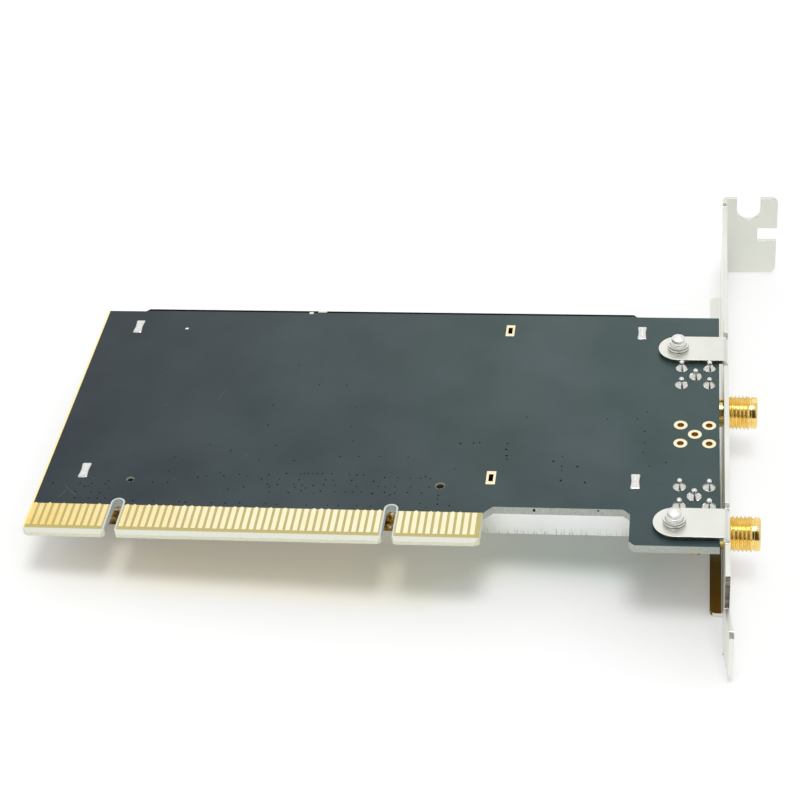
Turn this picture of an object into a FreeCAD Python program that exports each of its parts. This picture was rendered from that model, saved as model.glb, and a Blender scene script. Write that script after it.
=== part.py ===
"""Wireless network card for a 32-bit expansion slot, drawn as separate pieces in one frame.

X runs along the card towards the bracket, Y from the contact edge to the far edge and
Z out of the solder side. The origin is at the middle of the board's thickness, on the
contact edge, at the centre of the key slot nearest the bracket. Lengths are millimetres.
"""
import math
import os

import FreeCAD
import Part
import Sketcher

doc = FreeCAD.newDocument("wireless_card")
sheet = doc.addObject("Spreadsheet::Sheet", "Sizes")


class Size:
    """A length together with the sheet expression that drives it."""

    def __init__(self, value, text):
        self.value = value
        self.text = text

    def __add__(self, other):
        other = size(other)
        return Size(self.value + other.value, "(%s + %s)" % (self.text, other.text))

    def __sub__(self, other):
        other = size(other)
        return Size(self.value - other.value, "(%s - %s)" % (self.text, other.text))

    def __mul__(self, other):
        other = size(other)
        return Size(self.value * other.value, "(%s * %s)" % (self.text, other.text))

    def __truediv__(self, other):
        other = size(other)
        return Size(self.value / other.value, "(%s / %s)" % (self.text, other.text))

    def __neg__(self):
        return Size(-self.value, "(0 - %s)" % self.text)


def size(item):
    """Plain numbers count as fixed lengths."""
    if isinstance(item, Size):
        return item
    return Size(float(item), "%g" % item)


# Every driving dimension, in millimetres.
SIZES = {
    # The laminate: a low-profile card outline with the two key slots of a universal card.
    "board_length": 119.91,
    "board_height": 64.41,
    "board_thickness": 1.57,
    "key_to_left_end": 63.615,
    "key_spacing": 48.26,
    "key_width": 1.9,
    "key_depth": 8.7,
    "corner_cut": 0.9,
    "edge_bevel_length": 0.85,
    "edge_bevel_depth": 0.42,
    "gap_left": 15.885,
    "foot_length": 15.195,
    "gap_depth": 8.85,
    "gap_corner": 1.7,
    "gap_corner_foot": 1.2,
    "far_step_left": 56.1,
    "far_step_inset": 15.595,
    "far_step_height": 0.73,
    "tooling_hole_left": 47.5,
    "tooling_hole_right": 7.85,
    "tooling_hole_y": 14.0,
    "tooling_hole_bore": 1.3,
    "tooling_hole_wide_bore": 1.6,
    # Gold contacts of the card edge.
    "contact_pitch": 1.27,
    "contact_width": 0.8,
    "contact_length": 5.55,
    "contact_setback": 1.6,
    "contact_thickness": 0.05,
    # Antenna jacks: two fitted, a third footprint left bare between them.
    "jack_setback": 5.205,
    "jack_lower_y": 12.6,
    "jack_to_lug": 7.6,
    "jack_axis_drop": 6.8,
    "jack_block": 6.6,
    "jack_block_corner": 0.4,
    "jack_block_below_axis": 1.3,
    "jack_boss": 5.4,
    "jack_boss_below_axis": 2.95,
    "jack_neck": 5.4,
    "jack_thread": 6.35,
    "jack_thread_start": 6.15,
    "jack_thread_end": 10.1,
    "jack_groove": 5.4,
    "jack_groove_width": 0.35,
    "jack_lip": 5.95,
    "jack_reach": 11.55,
    "jack_mouth": 4.6,
    "jack_mouth_depth": 3.6,
    "jack_bore": 4.1,
    "jack_pin": 1.27,
    "jack_pin_reach": 10.4,
    "jack_cap": 4.5,
    "jack_cap_thickness": 0.6,
    "jack_cap_proud": 0.3,
    "leg_spacing": 5.08,
    "leg_bore": 1.34,
    "leg_width": 1.02,
    "leg_proud": 1.05,
    "joint_foot": 2.3,
    "joint_tip": 1.3,
    "joint_height": 0.8,
    "pad_outer": 2.45,
    "pad_thickness": 0.05,
    # The bracket: one folded sheet with two lugs on the board, a tab, a tongue and a lip.
    "sheet_thickness": 0.86,
    "bracket_gap": 0.84,
    "bracket_width": 18.42,
    "bracket_length": 120.02,
    "bend_radius": 0.4,
    "tab_depth": 11.43,
    "tab_corner": 1.4,
    "screw_slot_offset": 5.415,
    "screw_slot_width": 4.8,
    "screw_slot_depth": 5.2,
    "side_notch_offset": 7.415,
    "side_notch_from": 7.25,
    "side_notch_height": 3.2,
    "shoulder_y": 7.8,
    "tongue_drop": 13.96,
    "tongue_inset": 7.35,
    "tongue_width": 10.19,
    "tongue_jog": 0.8,
    "tongue_corner": 0.8,
    "lip_reach": 2.2,
    "lip_near": 1.3,
    "lip_far_gap": 10.6,
    "lug_lower_y": 5.1,
    "lug_far_inset": 10.71,
    "lug_width": 7.3,
    "lug_screw_setback": 8.485,
    "relief_width": 1.5,
    "collar_outer": 3.95,
    "collar_height": 1.0,
    "screw_thread": 3.0,
    "screw_clearance": 0.05,
    "screw_hole": 3.3,
    "screw_head": 5.5,
    "screw_head_height": 1.9,
    "screw_proud": 2.8,
    "screw_recess": 0.9,
    "screw_recess_depth": 1.1,
    # The shield on the component side: a soldered frame and a snap-on lid.
    "shield_left": 56.75,
    "shield_to_end": 14.095,
    "shield_near": 14.0,
    "shield_far_inset": 2.41,
    "shield_depth": 9.1,
    "shield_sheet": 0.3,
    "frame_rim": 2.5,
    "lid_gap": 0.25,
    "lid_corner_seam": 0.5,
    "tab_near_inset": 2.4,
    "tab_far_inset": 2.5,
    "tab_length": 2.2,
    "tab_proud": 0.35,
    "tab_slot_length": 2.6,
    "tab_slot_width": 0.7,
    "spare_slot_x": 16.55,
    "spare_slot_length": 2.0,
    "spare_slot_width": 0.9,
    "spare_pad_length": 3.5,
    "spare_pad_width": 1.65,
    "blob_length": 3.4,
    "blob_width": 1.7,
    "blob_height": 0.25,
    # Circuits under the shield and the few parts left outside it.
    "controller_x": -24.0,
    "controller_y": 34.0,
    "controller_side": 14.0,
    "controller_height": 1.4,
    "radio_x": 14.0,
    "radio_y": 37.0,
    "radio_side": 9.0,
    "radio_height": 0.9,
    "crystal_x": 2.0,
    "crystal_y": 48.0,
    "crystal_length": 5.0,
    "crystal_width": 3.2,
    "crystal_height": 0.9,
    "memory_x": -42.0,
    "memory_y": 44.0,
    "memory_length": 4.9,
    "memory_width": 3.9,
    "memory_height": 1.5,
    "regulator_x": -42.0,
    "regulator_y": 24.0,
    "regulator_length": 6.5,
    "regulator_width": 3.5,
    "regulator_height": 1.6,
    "coil_x": -34.0,
    "coil_y": 22.0,
    "coil_side": 4.0,
    "coil_height": 1.8,
    "tank_y": 24.0,
    "tank_first_x": -50.0,
    "tank_pitch": 22.0,
    "tank_length": 3.5,
    "tank_width": 2.8,
    "tank_height": 1.9,
    "chip_cap_y": 11.4,
    "chip_cap_length": 1.6,
    "chip_cap_width": 0.8,
    "chip_cap_height": 0.8,
    "feed_offset": 5.6,
    "feed_pitch": 1.8,
    "feed_length": 1.0,
    "feed_width": 0.5,
    "feed_height": 0.5,
}

for row, (alias, value) in enumerate(SIZES.items(), 1):
    sheet.set("A%d" % row, alias)
    sheet.set("B%d" % row, "%g" % value)
    sheet.setAlias("B%d" % row, alias)
    globals()[alias] = Size(float(value), "Sizes." + alias)
doc.recompute()

# Levels and faces that several pieces share.
solder_face = board_thickness / 2
parts_face = -(board_thickness / 2)
bracket_top = solder_face + sheet_thickness
bracket_bottom = bracket_top - bracket_width
left_end = -key_to_left_end
right_end = left_end + board_length
gap_right = right_end - foot_length
far_step_right = right_end - far_step_inset
bracket_x = right_end + bracket_gap
bracket_outer = bracket_x + sheet_thickness
screw_slot_x = bracket_x + screw_slot_offset
side_notch_x = bracket_x + side_notch_offset
tongue_tip = -tongue_drop
tab_y = bracket_length - tongue_drop - sheet_thickness
lip_far = tab_y - lip_far_gap
lug_screw_x = bracket_x - lug_screw_setback
lug_upper_y = board_height - lug_far_inset
jack_x = bracket_x - jack_setback
jack_upper_y = lug_upper_y - jack_to_lug
jack_pitch = (jack_upper_y - jack_lower_y) / 2
jack_spare_y = jack_lower_y + jack_pitch
jack_axis = parts_face - jack_axis_drop
shield_right = right_end - shield_to_end
shield_far = board_height - shield_far_inset
tab_near_y = shield_near + tab_near_inset
tab_far_y = shield_far - tab_far_inset


def drive(item, prop, value):
    item.setExpression(prop, size(value).text)


def move(item, place):
    for axis, value in zip("xyz", place):
        drive(item, "Placement.Base." + axis, value)


def box(name, length, width, height, place):
    item = doc.addObject("Part::Box", name)
    drive(item, "Length", length)
    drive(item, "Width", width)
    drive(item, "Height", height)
    move(item, place)
    return item


def centred_box(name, length, width, height, centre, base):
    x, y = centre
    return box(name, length, width, height, (size(x) - length / 2, size(y) - width / 2, base))


def rod(name, diameter, height, place, turn=None):
    item = doc.addObject("Part::Cylinder", name)
    drive(item, "Radius", diameter / 2)
    drive(item, "Height", height)
    if turn is not None:
        item.Placement.Rotation = FreeCAD.Rotation(*turn)
    move(item, place)
    return item


def fuse(name, items):
    item = doc.addObject("Part::MultiFuse", name)
    item.Shapes = items
    return item


def cut(name, base, tool):
    item = doc.addObject("Part::Cut", name)
    item.Base = base
    item.Tool = tool
    return item


def group(name, items):
    item = doc.addObject("Part::Compound", name)
    item.Links = items
    return item


def new_body(name):
    item = doc.addObject("PartDesign::Body", name)
    item.AllowCompound = True
    return item


def new_sketch(body, name, role, offset=0):
    plane = next(item for item in body.Origin.OriginFeatures if item.Role == role)
    item = body.newObject("Sketcher::SketchObject", name)
    item.AttachmentSupport = [(plane, "")]
    item.MapMode = "FlatFace"
    drive(item, "AttachmentOffset.Base.z", offset)
    return item


def hold(sketch, kind, first, second, value):
    """A dimension of the sketch, driven by the sheet."""
    number = sketch.addConstraint(Sketcher.Constraint(kind, -1, 1, first, second, value.value))
    sketch.setExpression("Constraints[%d]" % number, value.text)


def outline(sketch, points, arcs=None):
    """Closed outline through points; arcs maps an edge to the centre it turns about."""
    arcs = arcs or {}
    points = [(size(x), size(y)) for x, y in points]
    edges = []
    for number, (x, y) in enumerate(points):
        end_x, end_y = points[(number + 1) % len(points)]
        start = FreeCAD.Vector(x.value, y.value, 0)
        end = FreeCAD.Vector(end_x.value, end_y.value, 0)
        if number not in arcs:
            edges.append((sketch.addGeometry(Part.LineSegment(start, end)), 1, 2))
            continue
        middle = FreeCAD.Vector(size(arcs[number][0]).value, size(arcs[number][1]).value, 0)
        first = math.atan2(start.y - middle.y, start.x - middle.x)
        last = math.atan2(end.y - middle.y, end.x - middle.x)
        whole = Part.Circle(middle, FreeCAD.Vector(0, 0, 1), start.distanceToPoint(middle))
        turn = (last - first) % (2 * math.pi)
        if turn <= math.pi + 0.001:
            edge = sketch.addGeometry(Part.ArcOfCircle(whole, first, first + turn))
            edges.append((edge, 1, 2))
        else:
            edge = sketch.addGeometry(Part.ArcOfCircle(whole, last, last + 2 * math.pi - turn))
            edges.append((edge, 2, 1))
    for number, (edge, start, end) in enumerate(edges):
        after, after_start, _ = edges[(number + 1) % len(edges)]
        sketch.addConstraint(Sketcher.Constraint("Coincident", edge, end, after, after_start))
    for number, (edge, start, _) in enumerate(edges):
        hold(sketch, "DistanceX", edge, start, points[number][0])
        hold(sketch, "DistanceY", edge, start, points[number][1])
    for number, centre in arcs.items():
        x, y = points[number]
        end_x, end_y = points[(number + 1) % len(points)]
        if abs(end_x.value - x.value) >= abs(end_y.value - y.value):
            hold(sketch, "DistanceY", edges[number][0], 3, size(centre[1]))
        else:
            hold(sketch, "DistanceX", edges[number][0], 3, size(centre[0]))


def ring(sketch, centre, diameter):
    x, y = size(centre[0]), size(centre[1])
    middle = FreeCAD.Vector(x.value, y.value, 0)
    circle = Part.Circle(middle, FreeCAD.Vector(0, 0, 1), diameter.value / 2)
    edge = sketch.addGeometry(circle)
    hold(sketch, "DistanceX", edge, 3, x)
    hold(sketch, "DistanceY", edge, 3, y)
    place = sketch.addConstraint(Sketcher.Constraint("Diameter", edge, diameter.value))
    sketch.setExpression("Constraints[%d]" % place, diameter.text)


def rectangle(sketch, left, near, right, far):
    outline(sketch, [(left, near), (right, near), (right, far), (left, far)])


def pad(body, sketch, length):
    item = body.newObject("PartDesign::Pad", sketch.Name + "_pad")
    item.Profile = sketch
    drive(item, "Length", length)
    sketch.Visibility = False
    return item


def pocket(body, sketch, length):
    item = body.newObject("PartDesign::Pocket", sketch.Name + "_pocket")
    item.Profile = sketch
    drive(item, "Length", length)
    sketch.Visibility = False
    return item


def pattern(body, name, originals, sketch, axis, length, count):
    item = body.newObject("PartDesign::LinearPattern", name)
    item.Originals = originals
    item.Direction = (sketch, [axis])
    drive(item, "Length", length)
    item.Occurrences = count
    body.Tip = item
    return item


# Circuit board: outline, key slots, drilled holes, shield slots and the bevelled contact edge.
step_left = -far_step_left
board = new_body("circuit_board")
plan = new_sketch(board, "board_plan", "XY_Plane", parts_face)
outline(plan, [
    (left_end + corner_cut, 0),
    (gap_left - corner_cut, 0),
    (gap_left, corner_cut),
    (gap_left, gap_depth - gap_corner),
    (gap_left + gap_corner, gap_depth),
    (gap_right - gap_corner_foot, gap_depth),
    (gap_right, gap_depth - gap_corner_foot),
    (gap_right, corner_cut),
    (gap_right + corner_cut, 0),
    (right_end, 0),
    (right_end, board_height),
    (far_step_right, board_height),
    (far_step_right - far_step_height, board_height + far_step_height),
    (step_left + far_step_height, board_height + far_step_height),
    (step_left, board_height),
    (left_end, board_height),
    (left_end, corner_cut),
])
pad(board, plan, board_thickness)
key_plan = new_sketch(board, "key_slot", "XY_Plane", solder_face)
key_centre = key_depth - key_width / 2
outline(key_plan, [
    (-(key_width / 2 + corner_cut / 2), -corner_cut),
    (key_width / 2 + corner_cut / 2, -corner_cut),
    (key_width / 2 + corner_cut / 2, 0),
    (key_width / 2, corner_cut),
    (key_width / 2, key_centre),
    (-(key_width / 2), key_centre),
    (-(key_width / 2), corner_cut),
    (-(key_width / 2 + corner_cut / 2), 0),
], {4: (0, key_centre)})
first_key = pocket(board, key_plan, board_thickness)
keys = pattern(board, "key_slots", [first_key], key_plan, "H_Axis", key_spacing, 2)
keys.Reversed = True
drill_plan = new_sketch(board, "jack_drill", "XY_Plane", solder_face)
for side, end in ((0, 0), (-1, -1), (-1, 1), (1, -1), (1, 1)):
    ring(drill_plan, (jack_x + leg_spacing * (side / 2), jack_lower_y + leg_spacing * (end / 2)), leg_bore)
first_drill = pocket(board, drill_plan, board_thickness)
pattern(board, "jack_drills", [first_drill], drill_plan, "V_Axis", jack_pitch * 2, 3)
hole_plan = new_sketch(board, "round_holes", "XY_Plane", solder_face)
ring(hole_plan, (lug_screw_x, lug_lower_y), screw_hole)
ring(hole_plan, (lug_screw_x, lug_upper_y), screw_hole)
ring(hole_plan, (-tooling_hole_left, tooling_hole_y), tooling_hole_bore)
ring(hole_plan, (tooling_hole_right, tooling_hole_y), tooling_hole_wide_bore)
pocket(board, hole_plan, board_thickness)
wall_left = shield_sheet * 1.5 - shield_left
wall_right = shield_right - shield_sheet * 1.5
slot_plan = new_sketch(board, "shield_slots", "XY_Plane", solder_face)
for x, slot_width, slot_length in (
    (wall_left, tab_slot_width, tab_slot_length),
    (wall_right, tab_slot_width, tab_slot_length),
    (spare_slot_x, spare_slot_width, spare_slot_length),
):
    for y in (tab_near_y, tab_far_y):
        half_width = slot_width / 2
        half_length = slot_length / 2
        rectangle(slot_plan, x - half_width, y - half_length, x + half_width, y + half_length)
pocket(board, slot_plan, board_thickness)
for name, face, inward in (("solder", solder_face, -1), ("parts", parts_face, 1)):
    bevel = new_sketch(board, "bevel_" + name, "YZ_Plane", gap_left)
    outline(bevel, [
        (-corner_cut, face - edge_bevel_depth * (-inward)),
        (0, face - edge_bevel_depth * (-inward)),
        (edge_bevel_length, face),
        (edge_bevel_length, face + edge_bevel_depth * (-inward)),
        (-corner_cut, face + edge_bevel_depth * (-inward)),
    ])
    pocket(board, bevel, gap_left + key_to_left_end)

# Card-edge contacts: eleven, thirty-six and eleven on each side.
for node, level in (
    ("edge_contacts_solder_side", solder_face),
    ("edge_contacts_component_side", parts_face - contact_thickness),
):
    contacts = new_body(node)
    for first, count in ((1, 11), (14, 36), (52, 11)):
        centre = contact_pitch * (12.5 - first)
        strip = new_sketch(contacts, "%s_%d" % (node, first), "XY_Plane", level)
        near = contact_setback
        rectangle(strip, centre - contact_width / 2, near, centre + contact_width / 2, near + contact_length)
        finger = pad(contacts, strip, contact_thickness)
        label = "%s_row_%d" % (node, first)
        row = pattern(contacts, label, [finger], strip, "H_Axis", contact_pitch * (count - 1), count)
        row.Reversed = True

# Bracket: the strip with its tab and jogged tongue is one bent profile, padded to its width.
bracket = new_body("bracket")
strip = new_sketch(bracket, "strip_profile", "XY_Plane", bracket_bottom)
tab_end = bracket_x + tab_depth
bend_centre = (bracket_outer + bend_radius, tab_y - bend_radius)
jog_start = -shoulder_y
outline(strip, [
    (bracket_outer + tongue_jog, tongue_tip),
    (bracket_outer, jog_start),
    (bracket_outer, tab_y - bend_radius),
    (bracket_outer + bend_radius, tab_y),
    (tab_end, tab_y),
    (tab_end, tab_y + sheet_thickness),
    (bracket_outer + bend_radius, tab_y + sheet_thickness),
    (bracket_x, tab_y - bend_radius),
    (bracket_x, jog_start),
    (bracket_x + tongue_jog, tongue_tip),
], {2: bend_centre, 6: bend_centre})
pad(bracket, strip, bracket_width)

# The tongue is narrower than the strip and has a cut corner on each side.
far_right = tab_end + sheet_thickness
cut_depth = tab_depth * 2
tongue_top = bracket_top - tongue_inset
tongue_bottom = tongue_top - tongue_width
clear = sheet_thickness
side_plan = new_sketch(bracket, "tongue_sides", "YZ_Plane", far_right)
outline(side_plan, [
    (tongue_tip - clear, tongue_top - tongue_corner),
    (tongue_tip, tongue_top - tongue_corner),
    (tongue_tip + tongue_corner, tongue_top),
    (jog_start, tongue_top),
    (jog_start, bracket_top + clear),
    (tongue_tip - clear, bracket_top + clear),
])
outline(side_plan, [
    (tongue_tip - clear, bracket_bottom - clear),
    (jog_start, bracket_bottom - clear),
    (jog_start, tongue_bottom),
    (tongue_tip + tongue_corner, tongue_bottom),
    (tongue_tip, tongue_bottom + tongue_corner),
    (tongue_tip - clear, tongue_bottom + tongue_corner),
])
pocket(bracket, side_plan, cut_depth)

# Room for the bends of the lugs, the lip and the tab, with a relief beside each of them.
relief_plan = new_sketch(bracket, "bend_reliefs", "YZ_Plane", bracket_outer + bend_radius)
bend_level = solder_face - bend_radius
for y in (lug_lower_y, lug_upper_y):
    half = lug_width / 2 + relief_width
    rectangle(relief_plan, y - half, bend_level, y + half, bracket_top + clear)
lip_level = bracket_bottom + sheet_thickness + bend_radius
rectangle(relief_plan, lip_near - relief_width, bracket_bottom - clear, lip_far + relief_width, lip_level)
notch_level = bracket_top - relief_width * 0.6
rectangle(relief_plan, tab_y - relief_width * 2, notch_level, tab_y - relief_width, bracket_top + clear)
pocket(bracket, relief_plan, sheet_thickness + bend_radius * 2)

# Lugs: a rounded bend and a flat ear with a round end, extruded collar and tapped hole.
for name, y in (("lower", lug_lower_y), ("upper", lug_upper_y)):
    centre = (bracket_x - bend_radius, bend_level)
    fold = new_sketch(bracket, name + "_lug_bend", "XZ_Plane", -(y + lug_width / 2))
    outline(fold, [
        (bracket_x - bend_radius, solder_face),
        (bracket_x, bend_level),
        (bracket_outer, bend_level),
        (bracket_x - bend_radius, bracket_top),
    ], {0: centre, 2: centre})
    pad(bracket, fold, lug_width)
    ear = new_sketch(bracket, name + "_lug", "XY_Plane", solder_face)
    outline(ear, [
        (bracket_x - bend_radius, y - lug_width / 2),
        (bracket_x - bend_radius, y + lug_width / 2),
        (lug_screw_x, y + lug_width / 2),
        (lug_screw_x, y - lug_width / 2),
    ], {2: (lug_screw_x, y)})
    pad(bracket, ear, sheet_thickness)
    collar = new_sketch(bracket, name + "_collar", "XY_Plane", solder_face)
    ring(collar, (lug_screw_x, y), collar_outer)
    pad(bracket, collar, sheet_thickness + collar_height)
    tapped = new_sketch(bracket, name + "_tapped_hole", "XY_Plane", bracket_top + collar_height)
    ring(tapped, (lug_screw_x, y), screw_thread + screw_clearance)
    pocket(bracket, tapped, sheet_thickness + collar_height)

# The lip along the lower side, folded towards the card.
lip_end = bracket_x - lip_reach
lip_corner = bend_radius * 3
lip_bend = new_sketch(bracket, "lip_bend", "XZ_Plane", -lip_far)
lip_centre = (bracket_x - bend_radius, lip_level)
outline(lip_bend, [
    (bracket_x, lip_level),
    (bracket_x - bend_radius, bracket_bottom + sheet_thickness),
    (bracket_x - bend_radius, bracket_bottom),
    (bracket_outer, lip_level),
], {0: lip_centre, 2: lip_centre})
pad(bracket, lip_bend, lip_far - lip_near)
lip_flat = new_sketch(bracket, "lip_flat", "XY_Plane", bracket_bottom)
outline(lip_flat, [
    (bracket_x - bend_radius, lip_near),
    (bracket_x - bend_radius, lip_far),
    (lip_end + lip_corner, lip_far),
    (lip_end, lip_far - lip_corner),
    (lip_end, lip_near + lip_corner),
    (lip_end + lip_corner, lip_near),
], {
    2: (lip_end + lip_corner, lip_far - lip_corner),
    4: (lip_end + lip_corner, lip_near + lip_corner),
})
pad(bracket, lip_flat, sheet_thickness)

# Openings: round holes for the jacks, the screw slot, the side notch and the tab's corners.
jack_holes = new_sketch(bracket, "jack_holes", "YZ_Plane", bracket_outer + bend_radius)
for y in (jack_lower_y, jack_upper_y):
    ring(jack_holes, (y, jack_axis), jack_thread + screw_clearance * 5)
pocket(bracket, jack_holes, sheet_thickness + bend_radius * 2)
tab_plan = new_sketch(bracket, "tab_openings", "XZ_Plane", clear - tab_y)
slot_half = screw_slot_width / 2
slot_level = bracket_top - screw_slot_depth + slot_half
outline(tab_plan, [
    (screw_slot_x + slot_half, bracket_top + clear),
    (screw_slot_x - slot_half, bracket_top + clear),
    (screw_slot_x - slot_half, slot_level),
    (screw_slot_x + slot_half, slot_level),
], {2: (screw_slot_x, slot_level)})
notch_top = bracket_top - side_notch_from
rectangle(tab_plan, side_notch_x, notch_top - side_notch_height, tab_end + clear, notch_top)
outline(tab_plan, [
    (tab_end, bracket_top - tab_corner),
    (tab_end + clear, bracket_top - tab_corner),
    (tab_end + clear, bracket_top + clear),
    (tab_end - tab_corner, bracket_top + clear),
    (tab_end - tab_corner, bracket_top),
], {4: (tab_end - tab_corner, bracket_top - tab_corner)})
outline(tab_plan, [
    (tab_end - tab_corner, bracket_bottom),
    (tab_end - tab_corner, bracket_bottom - clear),
    (tab_end + clear, bracket_bottom - clear),
    (tab_end + clear, bracket_bottom + tab_corner),
    (tab_end, bracket_bottom + tab_corner),
], {4: (tab_end - tab_corner, bracket_bottom + tab_corner)})
pocket(bracket, tab_plan, sheet_thickness * 3)

# Screws through the board into the lugs: head on the component side, turned tip on the other.
for name, y in (("lower", lug_lower_y), ("upper", lug_upper_y)):
    screw = new_body(name + "_bracket_screw")
    move(screw, (lug_screw_x, y, parts_face))
    turned = new_sketch(screw, name + "_screw_profile", "XZ_Plane")
    tip_level = board_thickness + sheet_thickness + screw_proud
    shank = screw_thread / 2
    head = screw_head / 2
    outline(turned, [
        (0, -screw_head_height),
        (head - screw_head_height / 3, -screw_head_height),
        (head, -(screw_head_height / 2)),
        (head, 0),
        (shank, 0),
        (shank, tip_level - screw_proud * 0.2),
        (shank - screw_proud * 0.2, tip_level),
        (0, tip_level),
    ])
    spin = screw.newObject("PartDesign::Revolution", name + "_screw_turned")
    spin.Profile = turned
    spin.ReferenceAxis = (turned, ["V_Axis"])
    spin.Angle = 360
    cross = new_sketch(screw, name + "_screw_recess", "XY_Plane", screw_recess_depth - screw_head_height)
    reach = screw_head * 0.3
    half = screw_recess / 2
    outline(cross, [
        (-reach, -half), (-half, -half), (-half, -reach), (half, -reach),
        (half, -half), (reach, -half), (reach, half), (half, half),
        (half, reach), (-half, reach), (-half, half), (-reach, half),
    ])
    pocket(screw, cross, screw_recess_depth)

# Antenna jacks: block with four legs, round boss, threaded neck, insulator, bent contact and cap.
for name, y in (("lower", jack_lower_y), ("upper", jack_upper_y)):
    place = (jack_x, y, jack_axis)
    half = jack_block / 2
    jack = new_body(name + "_jack_body")
    move(jack, place)
    block = new_sketch(jack, name + "_jack_block", "XY_Plane", -jack_block_below_axis)
    outline(block, [
        (jack_block_corner - half, -half),
        (half - jack_block_corner, -half),
        (half, jack_block_corner - half),
        (half, half - jack_block_corner),
        (half - jack_block_corner, half),
        (jack_block_corner - half, half),
        (-half, half - jack_block_corner),
        (-half, jack_block_corner - half),
    ])
    pad(jack, block, jack_block_below_axis + jack_axis_drop)
    boss = new_sketch(jack, name + "_jack_boss", "XY_Plane", -jack_boss_below_axis)
    ring(boss, (0, 0), jack_boss)
    pad(jack, boss, jack_boss_below_axis)
    neck = new_sketch(jack, name + "_jack_neck", "XZ_Plane")
    groove_end = jack_thread_end + jack_groove_width
    lip_edge = jack_groove_width / 2
    outline(neck, [
        (0, 0),
        (jack_reach, 0),
        (jack_reach, jack_lip / 2 - lip_edge),
        (jack_reach - lip_edge, jack_lip / 2),
        (groove_end, jack_lip / 2),
        (groove_end, jack_groove / 2),
        (jack_thread_end, jack_groove / 2),
        (jack_thread_end, jack_thread / 2),
        (jack_thread_start, jack_thread / 2),
        (jack_thread_start, jack_neck / 2),
        (0, jack_neck / 2),
    ])
    spin = jack.newObject("PartDesign::Revolution", name + "_jack_turned")
    spin.Profile = neck
    spin.ReferenceAxis = (neck, ["H_Axis"])
    spin.Angle = 360
    legs = new_sketch(jack, name + "_jack_legs", "XY_Plane", jack_axis_drop - jack_block_corner)
    for side in (-1, 1):
        for end in (-1, 1):
            ring(legs, (leg_spacing * (side / 2), leg_spacing * (end / 2)), leg_width)
    pad(jack, legs, jack_block_corner + board_thickness + leg_proud)
    mouth = new_sketch(jack, name + "_jack_mouth", "YZ_Plane", jack_reach)
    ring(mouth, (0, 0), jack_mouth)
    pocket(jack, mouth, jack_mouth_depth)
    bore = new_sketch(jack, name + "_jack_bore", "YZ_Plane", jack_reach - jack_mouth_depth)
    ring(bore, (0, 0), jack_bore)
    pocket(jack, bore, jack_reach - jack_mouth_depth + jack_bore / 2)
    rise = new_sketch(jack, name + "_jack_rise", "XY_Plane", jack_axis_drop)
    ring(rise, (0, 0), jack_bore)
    pocket(jack, rise, jack_axis_drop + jack_bore / 2)
    seat_level = jack_cap_thickness - jack_cap_proud - jack_boss_below_axis
    seat = new_sketch(jack, name + "_jack_cap_seat", "XY_Plane", seat_level)
    ring(seat, (0, 0), jack_cap)
    pocket(jack, seat, jack_cap_thickness)

    along = (FreeCAD.Vector(0, 1, 0), 90)
    pin_start = -(jack_pin / 2)
    pin_rise = jack_axis_drop + board_thickness + leg_proud
    contact = fuse(name + "_jack_contact", [
        rod(name + "_pin", jack_pin, jack_pin_reach - pin_start, (pin_start, 0, 0), along),
        rod(name + "_post", leg_width, pin_rise - pin_start, (0, 0, pin_start)),
    ])
    move(contact, place)
    core_start = -(jack_bore / 2)
    core_run = jack_reach - jack_mouth_depth - core_start
    core = fuse(name + "_core", [
        rod(name + "_core_neck", jack_bore, core_run, (core_start, 0, 0), along),
        rod(name + "_core_rise", jack_bore, jack_axis_drop - core_start, (0, 0, core_start)),
    ])
    channel = fuse(name + "_channel", [
        rod(name + "_channel_neck", jack_pin, jack_reach - pin_start, (pin_start, 0, 0), along),
        rod(name + "_channel_rise", leg_width, jack_axis_drop * 2, (0, 0, pin_start)),
    ])
    insulator = cut(name + "_jack_insulator", core, channel)
    move(insulator, place)
    cap = rod(name + "_jack_cap", jack_cap, jack_cap_thickness, place)
    drive(cap, "Placement.Base.z", jack_axis - jack_boss_below_axis - jack_cap_proud)

# Solder: a cone round each jack leg and a low bead round each shield tab.
cones = []
for name, y in (("lower", jack_lower_y), ("upper", jack_upper_y)):
    for number, (side, end) in enumerate(((0, 0), (-1, -1), (-1, 1), (1, -1), (1, 1))):
        spot = (jack_x + leg_spacing * (side / 2), y + leg_spacing * (end / 2), solder_face)
        cone = doc.addObject("Part::Cone", "%s_cone_%d" % (name, number))
        drive(cone, "Radius1", joint_foot / 2)
        drive(cone, "Radius2", joint_tip / 2)
        drive(cone, "Height", joint_height)
        move(cone, spot)
        hole = rod("%s_cone_hole_%d" % (name, number), leg_width, joint_height, spot)
        cones.append(cut("%s_joint_%d" % (name, number), cone, hole))
group("jack_solder_joints", cones)

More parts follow.
